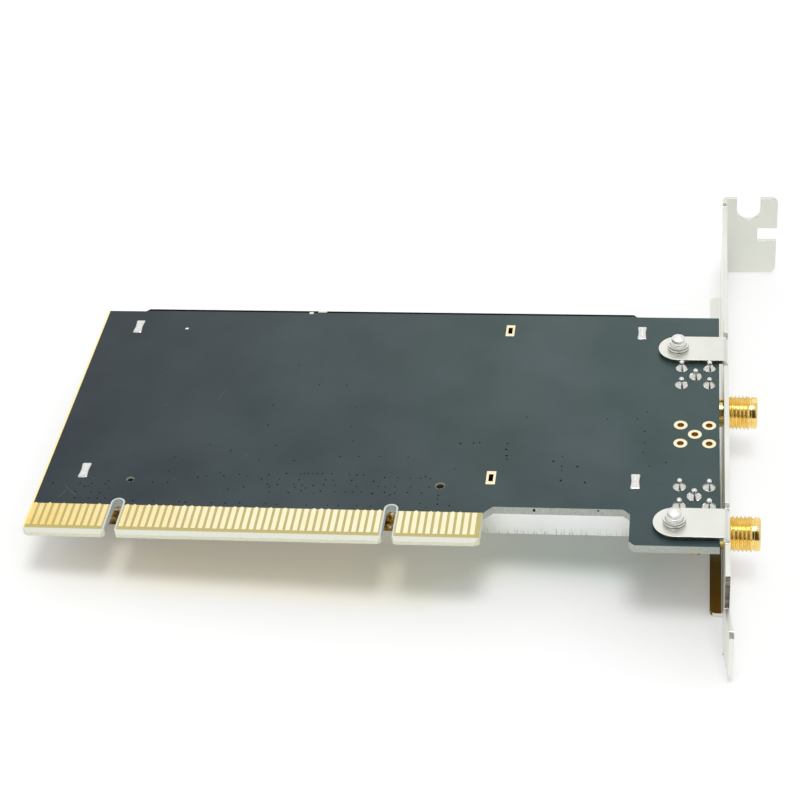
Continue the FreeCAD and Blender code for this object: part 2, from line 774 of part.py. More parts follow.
# Bare gold: the plated holes of the third jack footprint and the spare shield slots.
rings = []
for number, (side, end) in enumerate(((0, 0), (-1, -1), (-1, 1), (1, -1), (1, 1))):
    spot = (jack_x + leg_spacing * (side / 2), jack_spare_y + leg_spacing * (end / 2), solder_face)
    back = (spot[0], spot[1], parts_face - pad_thickness)
    plated = fuse("spare_plating_%d" % number, [
        rod("spare_disc_%d" % number, pad_outer, pad_thickness, spot),
        rod("spare_barrel_%d" % number, leg_bore, board_thickness + pad_thickness * 2, back),
        rod("spare_back_%d" % number, pad_outer, pad_thickness, back),
    ])
    bore = leg_bore - pad_thickness * 2
    hole = rod("spare_hole_%d" % number, bore, board_thickness + pad_thickness * 2, back)
    rings.append(cut("spare_ring_%d" % number, plated, hole))
group("spare_jack_pads", rings)
plates = []
for number, y in enumerate((tab_near_y, tab_far_y)):
    spot = (spare_slot_x, y)
    label = "spare_land_%d" % number
    land = (spare_pad_width, spare_pad_length, pad_thickness)
    back = parts_face - pad_thickness
    through = board_thickness + pad_thickness * 2
    plated = fuse(label + "_plating", [
        centred_box(label + "_plate", *land, spot, solder_face),
        centred_box(label + "_sleeve", spare_slot_width, spare_slot_length, through, spot, back),
        centred_box(label + "_back", *land, spot, back),
    ])
    slit_width = spare_slot_width - pad_thickness * 2
    slit_length = spare_slot_length - pad_thickness * 2
    slit = centred_box(label + "_slit", slit_width, slit_length, through, spot, back)
    plates.append(cut(label, plated, slit))
group("spare_shield_pads", plates)

# Shield frame: four walls with an inward rim and four tabs through the board.
inside = shield_sheet
frame_left = inside - shield_left
frame_right = shield_right - inside
frame_near = shield_near + inside
frame_far = shield_far - inside
frame_base = parts_face - shield_depth
frame = new_body("shield_frame")
wall_plan = new_sketch(frame, "frame_walls", "XY_Plane", frame_base)
rectangle(wall_plan, frame_left, frame_near, frame_right, frame_far)
pad(frame, wall_plan, shield_depth)
room = new_sketch(frame, "frame_room", "XY_Plane", parts_face)
rectangle(room, frame_left + inside, frame_near + inside, frame_right - inside, frame_far - inside)
pocket(frame, room, shield_depth - inside)
window = new_sketch(frame, "frame_window", "XY_Plane", frame_base + inside)
reach = inside + frame_rim
rectangle(window, frame_left + reach, frame_near + reach, frame_right - reach, frame_far - reach)
pocket(frame, window, inside)
tab_plan = new_sketch(frame, "frame_tabs", "XY_Plane", parts_face - inside)
for x in (frame_left, frame_right - inside):
    for y in (tab_near_y, tab_far_y):
        rectangle(tab_plan, x, y - tab_length / 2, x + inside, y + tab_length / 2)
pad(frame, tab_plan, board_thickness + tab_proud + inside)

# Shield lid: a flat pan folded up on four sides, with an open seam at each corner.
lid_base = frame_base - inside
lid_skirt = shield_depth + inside - lid_gap
lid = new_body("shield_lid")
lid_plan = new_sketch(lid, "lid_plan", "XY_Plane", lid_base)
rectangle(lid_plan, -shield_left, shield_near, shield_right, shield_far)
pad(lid, lid_plan, lid_skirt)
pan = new_sketch(lid, "lid_pan", "XY_Plane", lid_base + lid_skirt)
rectangle(pan, frame_left, frame_near, frame_right, frame_far)
pocket(lid, pan, lid_skirt - inside)
seams = new_sketch(lid, "lid_corner_seams", "XY_Plane", lid_base + lid_skirt)
seam = lid_corner_seam
rectangle(seams, -shield_left - inside, shield_near - inside, seam - shield_left, shield_near + seam)
rectangle(seams, shield_right - seam, shield_near - inside, shield_right + inside, shield_near + seam)
rectangle(seams, -shield_left - inside, shield_far - seam, seam - shield_left, shield_far + inside)
rectangle(seams, shield_right - seam, shield_far - seam, shield_right + inside, shield_far + inside)
pocket(lid, seams, lid_skirt - inside)

beads = []
for number, x in enumerate((frame_left + inside / 2, frame_right - inside / 2)):
    for end, y in enumerate((tab_near_y, tab_far_y)):
        label = "bead_%d_%d" % (number, end)
        bead = centred_box(label + "_body", blob_width, blob_length, blob_height, (x, y), solder_face)
        slit = centred_box(label + "_slit", inside, tab_length, blob_height, (x, y), solder_face)
        beads.append(cut(label, bead, slit))
group("shield_tab_solder", beads)


def on_parts_side(name, length, width, height, centre):
    """A moulded piece standing on the component side."""
    return centred_box(name, length, width, height, centre, parts_face - height)


on_parts_side(
    "host_controller", controller_side, controller_side, controller_height, (controller_x, controller_y)
)
on_parts_side("radio_chip", radio_side, radio_side, radio_height, (radio_x, radio_y))
on_parts_side("reference_crystal", crystal_length, crystal_width, crystal_height, (crystal_x, crystal_y))
on_parts_side("setup_memory", memory_length, memory_width, memory_height, (memory_x, memory_y))
on_parts_side(
    "voltage_regulator", regulator_length, regulator_width, regulator_height, (regulator_x, regulator_y)
)
on_parts_side("power_coil", coil_side, coil_side, coil_height, (coil_x, coil_y))
tanks = []
for number in range(3):
    spot = (tank_first_x + tank_pitch * number, tank_y)
    tanks.append(on_parts_side("tank_%d" % number, tank_length, tank_width, tank_height, spot))
group("tank_capacitors", tanks)

# One bypass capacitor behind each supply contact, counted in contacts from the first key slot.
bypass = []
for step in (-46, -42, -34, -30, -22, -18, -10, -6, 5, 9):
    spot = (contact_pitch * step, chip_cap_y)
    label = "bypass_%d" % len(bypass)
    bypass.append(on_parts_side(label, chip_cap_width, chip_cap_length, chip_cap_height, spot))
group("bypass_capacitors", bypass)
feeds = []
for name, y in (("lower", jack_lower_y), ("upper", jack_upper_y)):
    for number in range(2):
        spot = (jack_x - feed_offset - feed_pitch * number, y)
        label = "feed_%s_%d" % (name, number)
        feeds.append(on_parts_side(label, feed_length, feed_width, feed_height, spot))
group("antenna_feed_parts", feeds)

doc.recompute()
NODES = (
    "circuit_board", "edge_contacts_solder_side", "edge_contacts_component_side", "bracket",
    "lower_bracket_screw", "upper_bracket_screw",
    "lower_jack_body", "lower_jack_insulator", "lower_jack_contact", "lower_jack_cap",
    "upper_jack_body", "upper_jack_insulator", "upper_jack_contact", "upper_jack_cap",
    "jack_solder_joints", "spare_jack_pads", "spare_shield_pads",
    "shield_frame", "shield_lid", "shield_tab_solder",
    "host_controller", "radio_chip", "reference_crystal", "setup_memory", "voltage_regulator",
    "power_coil", "tank_capacitors", "bypass_capacitors", "antenna_feed_parts",
)
for item in doc.Objects:
    if "Invalid" in item.State or "Error" in item.State:
        raise RuntimeError("%s did not build: %s" % (item.Label, item.State))
os.makedirs("parts", exist_ok=True)
for node in NODES:
    item = doc.getObjectsByLabel(node)[0]
    if item.Shape.isNull() or not item.Shape.isValid():
        raise RuntimeError("%s has no valid shape" % node)
    item.Shape.exportStep("parts/%s.step" % node)
    bounds = item.Shape.BoundBox
    print("%-30s %2d solids, volume %9.2f" % (node, len(item.Shape.Solids), item.Shape.Volume), bounds)
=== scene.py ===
# %% [markdown]
# # A wireless network card, dressed for its picture
# The card lies on its component side, so the camera looks at the bare solder side, the gold
# contact edge and the folded bracket with its antenna jacks. The construction comes from the
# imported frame; this lesson gives each surface its finish and adds the forms that are too fine
# for the construction, such as threads, solder fillets and drilled vias.

# %% Load the frame
import math
import random

import bmesh
import bpy
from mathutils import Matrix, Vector


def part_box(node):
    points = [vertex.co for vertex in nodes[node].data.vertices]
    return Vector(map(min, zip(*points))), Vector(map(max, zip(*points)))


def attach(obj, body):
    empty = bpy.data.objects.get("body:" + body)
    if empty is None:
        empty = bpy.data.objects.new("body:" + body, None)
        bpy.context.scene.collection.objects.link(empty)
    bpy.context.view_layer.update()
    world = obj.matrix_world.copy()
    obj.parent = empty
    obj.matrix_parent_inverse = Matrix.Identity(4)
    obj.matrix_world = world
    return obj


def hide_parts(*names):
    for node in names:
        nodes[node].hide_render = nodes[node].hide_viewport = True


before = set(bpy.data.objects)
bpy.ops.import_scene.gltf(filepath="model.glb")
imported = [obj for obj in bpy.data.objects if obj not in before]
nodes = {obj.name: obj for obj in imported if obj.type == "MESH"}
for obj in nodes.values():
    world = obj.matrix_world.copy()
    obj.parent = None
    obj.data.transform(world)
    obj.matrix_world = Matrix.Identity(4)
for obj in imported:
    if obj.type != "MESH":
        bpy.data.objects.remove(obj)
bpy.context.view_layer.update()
MM = 0.001
chance = random.Random(7)
TWO = ("lower", "upper")
print("nodes in the frame:", len(nodes))

# %% [markdown]
# ## Shorthand for finishes
# Every finish starts from Blender's all-round shader. Steady values are typed on the shader's
# own sockets, and only what changes over the surface is wired, always from the object's own
# coordinates, so a pattern stays put when the camera moves. One small class keeps the wiring of
# any node tree readable, and a second one adds what only a material has; both could also be
# done by hand in the node editor.


# %% Shorthand for wiring nodes
class Wiring:
    """A node tree with a short way of adding and joining nodes."""

    def __init__(self, tree):
        self.tree = tree

    def add(self, kind, values=(), **settings):
        """A new node with its settings, and values for its inputs by name or number."""
        node = self.tree.nodes.new(kind)
        for name, value in settings.items():
            setattr(node, name, value)
        for socket, value in dict(values).items():
            self.give(node.inputs[socket], value)
        return node

    def give(self, socket, value):
        """A socket takes a number, a colour or another node's output."""
        if isinstance(value, bpy.types.NodeSocket):
            self.tree.links.new(value, socket)
        elif isinstance(value, tuple):
            socket.default_value = (*value, 1.0)
        else:
            socket.default_value = value

    def sums(self, operation, first, *others):
        """One operation, carried on from value to value."""
        for other in others or (0.0,):
            node = self.add("ShaderNodeMath", {0: first, 1: other}, operation=operation)
            first = node.outputs[0]
        return first

    def times(self, *values):
        return self.sums("MULTIPLY", *values)

    def most(self, *values):
        return self.sums("MAXIMUM", *values)

    def below(self, value, limit):
        return self.sums("LESS_THAN", value, limit)

    def above(self, value, limit):
        return self.sums("GREATER_THAN", value, limit)

    def wave(self, along, pitch):
        """A sine wave along an axis."""
        return self.sums("SINE", self.times(along, 2 * math.pi / pitch))

    def span(self, value, low, high, start=0.0, end=1.0, curve="LINEAR"):
        """Maps low..high to start..end and holds the ends."""
        values = enumerate((value, low, high, start, end))
        return self.add("ShaderNodeMapRange", values, interpolation_type=curve).outputs[0]

    def spread(self, cloud, start=0.0, end=1.0):
        """Noise keeps to the middle of its range; this spreads it out."""
        return self.span(cloud, 0.3, 0.7, start, end)

    def blend(self, share, first, second):
        values = {0: share, 6: first, 7: second}
        return self.add("ShaderNodeMix", values, data_type="RGBA").outputs[2]


# %% Shorthand for finishes
class Finish(Wiring):
    """A material, wired from the object's own coordinates."""

    def __init__(self, name, metal=0.0, rough=0.5):
        self.material = bpy.data.materials.new(name)
        self.material.use_nodes = True
        super().__init__(self.material.node_tree)
        self.shader = self.tree.nodes["Principled BSDF"]
        self.feed("Metallic", metal)
        self.feed("Roughness", rough)
        self.place = self.add("ShaderNodeTexCoord").outputs["Object"]

    def feed(self, socket, value):
        self.give(self.shader.inputs[socket], value)

    def flecked(self, share, first, second):
        """A base colour that drifts between two colours."""
        self.feed("Base Color", self.blend(share, first, second))

    def split(self, vector):
        return self.add("ShaderNodeSeparateXYZ", {0: vector}).outputs

    def axes(self):
        return self.split(self.place)

    def facing(self):
        """The direction that the surface faces, axis by axis."""
        return self.split(self.add("ShaderNodeNewGeometry").outputs["Normal"])

    def noise(self, grain, detail=3.0, stretch=(1.0, 1.0, 1.0)):
        """Noise with grains about this many millimetres across."""
        mapping = self.add("ShaderNodeMapping", {"Vector": self.place})
        mapping.inputs["Scale"].default_value = stretch
        values = {"Vector": mapping.outputs[0], "Scale": 1.0 / (grain * MM), "Detail": detail}
        return self.add("ShaderNodeTexNoise", values).outputs["Fac"]

    def relief(self, height, depth):
        """Fine relief, with a depth in millimetres."""
        node = self.add("ShaderNodeBump", {"Distance": depth * MM, "Height": height})
        self.feed("Normal", node.outputs["Normal"])


def paint(finish, *names):
    for name in names:
        nodes[name].data.materials.clear()
        nodes[name].data.materials.append(finish.material)
    print(finish.material.name, "on", ", ".join(names))


# %% [markdown]
# ## Solder mask and laminate
# The board is glass-epoxy laminate under a satin black lacquer, the solder mask. The lacquer
# stops at the roots of the contacts, where the bare khaki laminate shows its weave, and the
# cut edges are pale. One material can hold all of that, because height and direction tell it
# where it is: flat faces take the lacquer, edges and bevels the laminate.

# %% Solder mask and laminate
board_low, board_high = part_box("circuit_board")
contact_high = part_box("edge_contacts_solder_side")[1]
LEFT_END = board_low[0]
RIGHT_END = board_high[0]
MASK_START = contact_high[1] + 0.1 * MM
BARE_END = contact_high[0] + 0.9 * MM
CONTACT_PITCH = 1.27 * MM
FLAT_FACE = 0.97
RIM = 0.32 * MM
KEY_SLOTS = (0.0, -38 * CONTACT_PITCH)
KEY_CENTRE = 7.75 * MM
KEY_REACH = 1.24 * MM
TOOLING_HOLES = ((-47.5, 14.0, 0.65, 0.02), (7.85, 14.0, 0.80, 0.03))

mask = Finish("black_solder_mask")
x, y = mask.axes()[:2]
upright = mask.sums("ABSOLUTE", mask.facing()["Z"])
flat = mask.above(upright, FLAT_FACE)
bare = mask.times(mask.below(y, MASK_START), mask.below(x, BARE_END))
left_rim = mask.below(x, LEFT_END + RIM)


def round_rim(aside, ahead, radius):
    """1 within a circle, from the distances aside and ahead of its centre."""
    square = mask.sums("ADD", mask.times(aside, aside), mask.times(ahead, ahead))
    return mask.below(square, radius * radius)


beyond = mask.most(mask.sums("SUBTRACT", y, KEY_CENTRE), 0.0)
rims = [round_rim(mask.sums("SUBTRACT", x, key), beyond, KEY_REACH) for key in KEY_SLOTS]
for hole_x, hole_y, radius, rim in TOOLING_HOLES:
    aside = mask.sums("SUBTRACT", x, hole_x * MM)
    ahead = mask.sums("SUBTRACT", y, hole_y * MM)
    rims.append(round_rim(aside, ahead, (radius + rim) * MM))
key_rim = mask.most(*rims)
uncoated = mask.most(bare, left_rim, key_rim)
lacquered = mask.times(flat, mask.sums("SUBTRACT", 1.0, uncoated))
print("bare rims round slots and holes:", len(rims))

# %% [markdown]
# The lacquer is not one colour: it is painted lighter towards the bracket and the far edge and
# darker towards the left end and the contacts, a painted sheen and shade. It is cloudy where it
# flowed, and nearly black in the narrow strip along the far edge, where the cutter scored the
# panel. The glass weave gives the bare laminate its check pattern, and the routed edges beside the
# bracket are greyer than the rest.

# %% Colours of the board
WEAVE = 0.42 * MM
FAR_LINE = 0.55 * MM
ROUTED_END = 20.0 * MM
SLOT_START = 1.2 * MM
BEVEL_FACE = 0.5
LACQUER_SHADE_END = 12.0 * MM
LACQUER_LIT_START = 50.0 * MM
weave = mask.times(mask.wave(x, WEAVE), mask.wave(y, WEAVE))
haze = mask.noise(16.0, 3.0)
scuff = mask.noise(0.5, 4.0, (1.0, 0.08, 1.0))
milled = mask.spread(mask.noise(0.16, 3.0, (1.0, 1.0, 0.3)))
# The lacquer is painted lighter towards the bracket and the far edge and darker towards the left
# end and the contacts: painted sheen and shade.
across = mask.span(x, LEFT_END, RIGHT_END)
across = mask.times(across, mask.span(y, LACQUER_SHADE_END, LACQUER_LIT_START, 0.82, 1.06))
cloudy = mask.span(haze, 0.35, 0.7)
shaded_lacquer = mask.blend(cloudy, (0.0060, 0.0150, 0.0230), (0.0110, 0.0230, 0.0310))
lit_lacquer = mask.blend(cloudy, (0.0200, 0.0510, 0.0490), (0.0300, 0.0620, 0.0640))
scored = mask.above(y, board_high[1] - FAR_LINE)
lacquer = mask.blend(scored, mask.blend(across, shaded_lacquer, lit_lacquer), (0.004, 0.009, 0.005))
khaki = mask.blend(mask.span(weave, -1.0, 1.0), (0.42, 0.35, 0.12), (0.53, 0.46, 0.18))
top = mask.blend(key_rim, khaki, (0.58, 0.62, 0.60))
top = mask.blend(left_rim, top, (0.95, 0.80, 0.36))
cream = mask.blend(milled, (0.70, 0.71, 0.52), (0.86, 0.87, 0.71))
grey = mask.blend(milled, (0.35, 0.39, 0.35), (0.56, 0.60, 0.54))
routed = mask.times(mask.above(x, BARE_END), mask.below(y, ROUTED_END))
edge = mask.blend(routed, cream, grey)
edge = mask.blend(mask.above(upright, BEVEL_FACE), edge, (0.70, 0.71, 0.62))
slot_wall = mask.times(key_rim, mask.above(y, SLOT_START))
edge = mask.blend(slot_wall, edge, (0.50, 0.54, 0.53))
mask.flecked(lacquered, mask.blend(flat, edge, top), lacquer)
print("board coloured by", len(mask.tree.nodes), "nodes")

# %% [markdown]
# The gloss follows the same clouds, and is weaker in the scored strip and towards the bracket.
# Traces that leave the contacts stand up under the lacquer as faint ridges, and the weave prints
# through as a fine grain. Both are a few thousandths of a millimetre high, too low for a mesh,
# so they are relief in the material.

# %% Gloss and relief of the board
SHADE_START = 30.0 * MM
TRACE_RUN = 5.0 * MM
gloss = mask.span(mask.sums("ADD", haze, mask.times(scuff, 0.5)), 0.5, 1.1, 0.33, 0.47)
gloss = mask.most(gloss, mask.times(scored, 0.8), mask.span(lacquered, 0.0, 1.0, 0.62, 0.0))
mask.feed("Roughness", gloss)
shine = mask.times(
    mask.span(across, 0.0, 1.0, 0.38, 0.69), mask.span(haze, 0.35, 0.65, 0.88, 1.10),
    mask.span(x, SHADE_START, RIGHT_END, 1.0, 0.76), mask.span(scored, 0.0, 1.0, 1.0, 0.15),
)
mask.feed("Specular IOR Level", shine)
traces = mask.span(mask.wave(x, CONTACT_PITCH), 0.55, 0.8)
ridges = mask.times(traces, mask.span(y, MASK_START, MASK_START + TRACE_RUN, 1.0, 0.0))
fine = mask.sums("ADD", mask.times(weave, 0.10), mask.times(scuff, 0.35))
mask.relief(mask.sums("ADD", ridges, fine), 0.012)
paint(mask, "circuit_board")

# %% [markdown]
# ## Gold plate
# The contacts are hard gold over copper: bright, a little wiped along their length by the slot's
# springs, and thin and coppery inside the plated holes. Along the row the plate is painted deeper
# and darker at the left end and paler at the right, as painted shade and highlight. Metal takes its
# whole look from reflections, so the finish only varies the tint and the roughness.

# %% Gold plate
GOLD_SHADE_END = -25.0 * MM
PLATE = 0.03 * MM
gold = Finish("contact_gold", metal=1.0)
wiped = gold.noise(0.18, 3.0, (1.0, 0.1, 1.0))
patches = gold.noise(5.0, 2.0)
tint = gold.span(gold.sums("ADD", wiped, patches), 0.7, 1.3)
# Along the row the plate is painted deeper at the left end and paler at the right: painted shade
# and highlight.
shaded_gold = gold.blend(tint, (0.97, 0.69, 0.21), (1.0, 0.79, 0.33))
lit_gold = gold.blend(tint, (1.0, 0.90, 0.58), (1.0, 0.95, 0.72))
x, _, z = gold.axes()
plate = gold.blend(gold.span(x, LEFT_END, GOLD_SHADE_END), shaded_gold, lit_gold)
under_top = gold.below(z, board_high[2] - PLATE)
in_hole = gold.times(under_top, gold.above(z, board_low[2] + PLATE))
gold.flecked(in_hole, plate, (0.86, 0.44, 0.06))
gold.feed("Roughness", gold.spread(wiped, 0.22, 0.30))
gold.relief(wiped, 0.001)
paint(gold, "edge_contacts_solder_side", "edge_contacts_component_side")
paint(gold, "spare_jack_pads", "spare_shield_pads")

# %% [markdown]
# ## Shorthand for meshes
# Most added pieces are turned on a lathe: a profile swept round an axis. A ring of points for
# each step of the profile, skinned with faces, does the same and also takes a radius that
# changes with the angle, which is all that a screw thread is.


# %% Shorthand for meshes
AXES = {
    "X": (Vector((0, 1, 0)), Vector((0, 0, 1)), Vector((1, 0, 0))),
    "Z": (Vector((1, 0, 0)), Vector((0, 1, 0)), Vector((0, 0, 1))),
}


def skin(shape, rings, hollow=False):
    """Faces between rings of points; hollow joins the last ring to the first."""
    rows = [[shape.verts.new(point) for point in ring] for ring in rings]
    pairs = list(zip(rows, rows[1:]))
    if hollow:
        pairs.append((rows[-1], rows[0]))
    made = []
    for lower, upper in pairs:
        for side in range(len(lower)):
            after = (side + 1) % len(lower)
            made.append(shape.faces.new((lower[side], lower[after], upper[after], upper[side])))
    if not hollow:
        made.append(shape.faces.new(rows[0][::-1]))
        made.append(shape.faces.new(rows[-1]))
    return made


def turned(shape, profile, place, axis="Z", steps=48, hollow=False):
    """Turns (along, radius) pairs in millimetres; a radius may be a function of the angle."""
    across, up, along_axis = AXES[axis]
    rings = []
    for along, radius in profile:
        ring = []
        for step in range(steps):
            angle = 2 * math.pi * step / steps
            reach = radius(angle) if callable(radius) else radius
            spoke = across * math.cos(angle) + up * math.sin(angle)
            ring.append(Vector(place) + (along_axis * along + spoke * reach) * MM)
        rings.append(ring)
    return skin(shape, rings, hollow)


def block(shape, low, high, rounding, segments=2):
    """A block in millimetres with rounded edges."""
    before = set(shape.faces)
    bottom = [(low[0], low[1]), (high[0], low[1]), (high[0], high[1]), (low[0], high[1])]
    rings = [[Vector((px, py, pz)) * MM for px, py in bottom] for pz in (low[2], high[2])]
    faces = skin(shape, rings)
    edges = dict.fromkeys(item for face in faces for item in face.edges)
    bmesh.ops.bevel(
        shape, geom=list(edges), offset=rounding * MM, segments=segments, profile=0.5,
        affect="EDGES", clamp_overlap=True,
    )
    return [face for face in shape.faces if face not in before]


def steady_normals(shape, closeness=0.64):
    """Corner normals weighted by area, so that a wide face stays flat next to its bevels."""
    areas = {face: face.calc_area() for face in shape.faces}
    normals = []
    for face in shape.faces:
        for corner in face.loops:
            normal = Vector()
            for other in corner.vert.link_faces:
                if other.normal.dot(face.normal) > closeness:
                    normal += other.normal * areas[other]
            normals.append(normal.normalized())
    return normals


def finish_piece(name, shape, finishes, replaced=(), crease=32, steady=False):
    """Makes the object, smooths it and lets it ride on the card."""
    mesh = bpy.data.meshes.new(name)
    bmesh.ops.recalc_face_normals(shape, faces=shape.faces)
    shape.normal_update()
    normals = steady_normals(shape) if steady else []
    shape.to_mesh(mesh)
    shape.free()
    mesh.polygons.foreach_set("use_smooth", [True] * len(mesh.polygons))
    if steady:
        mesh.normals_split_custom_set(normals)
    else:
        mesh.set_sharp_from_angle(angle=math.radians(crease))
    for item in finishes:
        mesh.materials.append(item.material)
    piece = bpy.data.objects.new(name, mesh)
    bpy.context.scene.collection.objects.link(piece)
    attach(piece, "root")
    if replaced:
        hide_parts(*replaced)
    print(name, "has", len(mesh.polygons), "faces")
    return piece


# %% [markdown]
# ## Contact roots
# Each contact is a pad whose trace runs on under the lacquer. Where the lacquer starts, many
# contacts show a small rounded root. They could be painted, but as real half discs they also
# catch the light along their rim.

# %% Contact roots
CONTACTS = 62
KEYED_OUT = (12, 13, 50, 51)
KEY_NUMBER = 12.5
COVERED_SHARE = 0.35
ROOT_RADII = (0.17, 0.27)
shape = bmesh.new()
for number in range(1, CONTACTS + 1):
    if number in KEYED_OUT or chance.random() < COVERED_SHARE:
        continue
    centre = Vector(((KEY_NUMBER - number) * CONTACT_PITCH, contact_high[1], board_high[2]))
    radius = chance.uniform(*ROOT_RADII)
    turned(shape, [(0.0, radius), (0.05, radius), (0.06, radius * 0.8)], centre, steps=14)
finish_piece("contact_roots", shape, [gold])

# %% [markdown]
# ## Vias
# Small drilled holes carry signals from one side to the other. The lacquer closes most of them and
# a few stay open. Each is a shallow dimple with a thin rim, and its centre is painted near black as
# painted shade for the hole. They are listed row by row, the way a drill file lists them, in
# millimetres.

# %% Vias
# The near-black centre of each via is painted shade for the hole under it.
via_shade_and_cut_ends = Finish("painted_via_shade_and_cut_ends", rough=0.7)
via_shade_and_cut_ends.feed("Specular IOR Level", 0.08)
via_shade_and_cut_ends.flecked(via_shade_and_cut_ends.noise(0.1), (0.002, 0.002, 0.002), (0.010, 0.009, 0.007))

OPEN_VIAS = (
    (-3.8, 11.6), (33.0, 15.7), (28.8, 16.1), (31.5, 19.9), (27.2, 21.2), (18.8, 22.5),
    (18.6, 24.2), (10.3, 25.6),
)
CLOSED_VIAS = (
    (8.3, (-45.7, -42, -37.5, -36.3, -31.7, -29.2, -26.7, -22.1, -20.1, -14.9, -11.2, -9.3, -6.1,
           -3.7, 6.1)),
    (8.8, (-56.3, -53.8, -52.2, -50.8, 10)), (9.2, (4.8, 7.9)),
    (10.4, (-56.6, -53.8, -52.2, -48.1, 7.8)),
    (11.4, (-50.7, -22, -18.6, -14.1, -0.7, 7.8)),
    (12, (-55.3, -54.6, -29.5, -16.4, -13, -10.5, -8.6, -7.3, -5.8, -1.7, 0.1, 2.3, 4.8)),
    (12.7, (-61.2, -56.3, -54.2, -51.7, -26.8, -22.2, -17.7, -15.8)),
    (13.5, (-51.3, -43.3, -40.6, -22.7, -20.9, -18, -16.5, -14.5, -12.7, -10.6, -6.9, -3, -1.7,
            0, 2.7, 6)),
    (14.9, (-35.5, -24, -20.8, -17.2, -12.6, -11.2, -7.9, -4)), (15.4, (-34, -30.9, -26.6)),
    (15.9, (-28.2, -22.9, -2.2, 0.1, 2.4, 4.2, 5.9)),
    (16.5, (-41.1, -31.7, -19.8, -17.3, -16.6, -15.9, -15, -14.3, -13.4, -11.7, -8.5, -7.2, -6, 5)),
    (18.7, (9.9, 28.8)), (19.9, (-25.4, -19, 28.7)), (20.4, (-40.7, 44.1)),
    (21.5, (-10.9, -7.6, -3.7, 1.3, 18.9, 46.9)), (22.5, (-31, 28.7)), (24, (-35, -22.9, 42.9)),
    (25.8, (-9.3, 12.6, 13.7, 18.7)), (26.9, (43.1,)), (29.9, (-25.5, -10.2, 43)),
    (33.4, (21.6, 36.2, 41.6)),
    (35.5, (-25.5, -10.1, 43.3)), (41.9, (-17.9, -12.7)), (48, (-22.8,)),
)
FAINT_VIAS = (
    (8, (-50.7,)), (9.3, (-49.4,)), (11.8, (-32.3, -31.1)), (14.1, (-54.3, -45, -39.7)),
    (15.1, (-38.3, -37.3, -35.4)), (16.5, (-51.7, -46.6, -45.2, -37.4)), (18.5, (-53.6,)),
    (19.8, (-39.3,)), (21.2, (-53.7, -49.5, -27.9)), (22.8, (-61.1, -33.4, -32.6)),
    (35.1, (-45.8, -43.4, -39.5, -30.5)), (42, (-28.1, -25.5, -22.8, -20.2)),
    (44, (-48.5, -41.9, -24.3, -19.2, -16.4, -14.1)), (50.1, (-34.4,)), (2.7, (44.5,)),
    (4.5, (43.6,)), (15.3, (46.2,)), (19.2, (46.2,)), (20.9, (51.7,)), (34.8, (47.3, 50.4)),
    (37.2, (52.8,)), (37.9, (52.7,)), (39.1, (43.1,)),
)
VIA_STEPS = 12
VIA_RINGS = ((0.0, 1.3), (0.006, 1.1), (0.005, 1.0), (0.002, 0.5))
ROW_SPREAD = (-0.12, 0.12)
OPEN_SIZE = 0.22
CLOSED_SIZES = (0.13, 0.18)
FAINT_SIZE = 0.10
UNDERSIDE_SIZES = (0.12, 0.18)
SHIELD_START = 13.0


def via(shape, spot, size, face, outward):
    """A thin rim in the lacquer round a dimple painted dark, as painted shade for the hole."""
    profile = [(outward * height, size * share) for height, share in VIA_RINGS]
    place = (spot[0] * MM, spot[1] * MM, face)
    faces = turned(shape, profile, place, steps=VIA_STEPS)
    for item in faces[2 * VIA_STEPS:3 * VIA_STEPS] + faces[-1:]:
        item.material_index = 1


shape = bmesh.new()
closed = []
for row, places in CLOSED_VIAS:
    closed += [(spot_x, row + chance.uniform(*ROW_SPREAD)) for spot_x in places]
for spot in OPEN_VIAS:
    via(shape, spot, OPEN_SIZE, board_high[2], 1)
for spot in closed:
    via(shape, spot, chance.uniform(*CLOSED_SIZES), board_high[2], 1)
for row, places in FAINT_VIAS:
    for spot_x in places:
        via(shape, (spot_x, row), FAINT_SIZE, board_high[2], 1)
for spot in closed:
    if spot[1] < SHIELD_START:
        via(shape, spot, chance.uniform(*UNDERSIDE_SIZES), board_low[2], -1)
finish_piece("drilled_vias", shape, [mask, via_shade_and_cut_ends])

# %% [markdown]
# ## Tooling holes
# Two plain holes locate the board while it is made. Below the first few tenths of a millimetre
# their walls lie in shade, so from above each reads as a dark hole with a pale far rim. A thin dark
# sleeve and a dark plug deep in the hole are painted shade.

# %% Tooling holes
HOLE_SHADE_TOP = 0.45
HOLE_SHADE_FOOT = -0.74
# The dark sleeve and plug are painted shade inside the holes.
hole_shade_paint = Finish("painted_hole_shade", rough=0.6)
hole_shade_paint.flecked(hole_shade_paint.noise(0.5), (0.020, 0.014, 0.006), (0.20, 0.14, 0.05))
shape = bmesh.new()
for hole_x, hole_y, radius, _ in TOOLING_HOLES:
    place = (hole_x * MM, hole_y * MM, 0.0)
    outer = radius - 0.005
    inner = radius - 0.03
    sleeve = [(HOLE_SHADE_FOOT, outer), (HOLE_SHADE_TOP, outer), (HOLE_SHADE_TOP, inner), (HOLE_SHADE_FOOT, inner)]
    turned(shape, sleeve, place, steps=28, hollow=True)
    core = radius - 0.06
    plug = [(HOLE_SHADE_FOOT, core), (HOLE_SHADE_FOOT + 0.14, core), (HOLE_SHADE_FOOT + 0.18, radius - 0.3)]
    turned(shape, plug, place, steps=28)
finish_piece("tooling_hole_shade_sleeves", shape, [hole_shade_paint])

# %% [markdown]
# ## Break-off marks
# Boards are made several to a panel and snapped apart. Where the bridge was, small stubs of
# laminate stay on the far edge and the lacquer beside them is torn away in two pale flakes.
# Where the router cut across copper, in the wide gap, the cut ends show as two dark marks.

# %% Break-off marks
torn_edge = Finish("torn_laminate", rough=0.75)
fibres = torn_edge.noise(0.12, 4.0, (0.4, 1.0, 1.0))
torn_edge.flecked(fibres, (0.62, 0.60, 0.42), (0.86, 0.85, 0.70))
torn_edge.relief(fibres, 0.05)

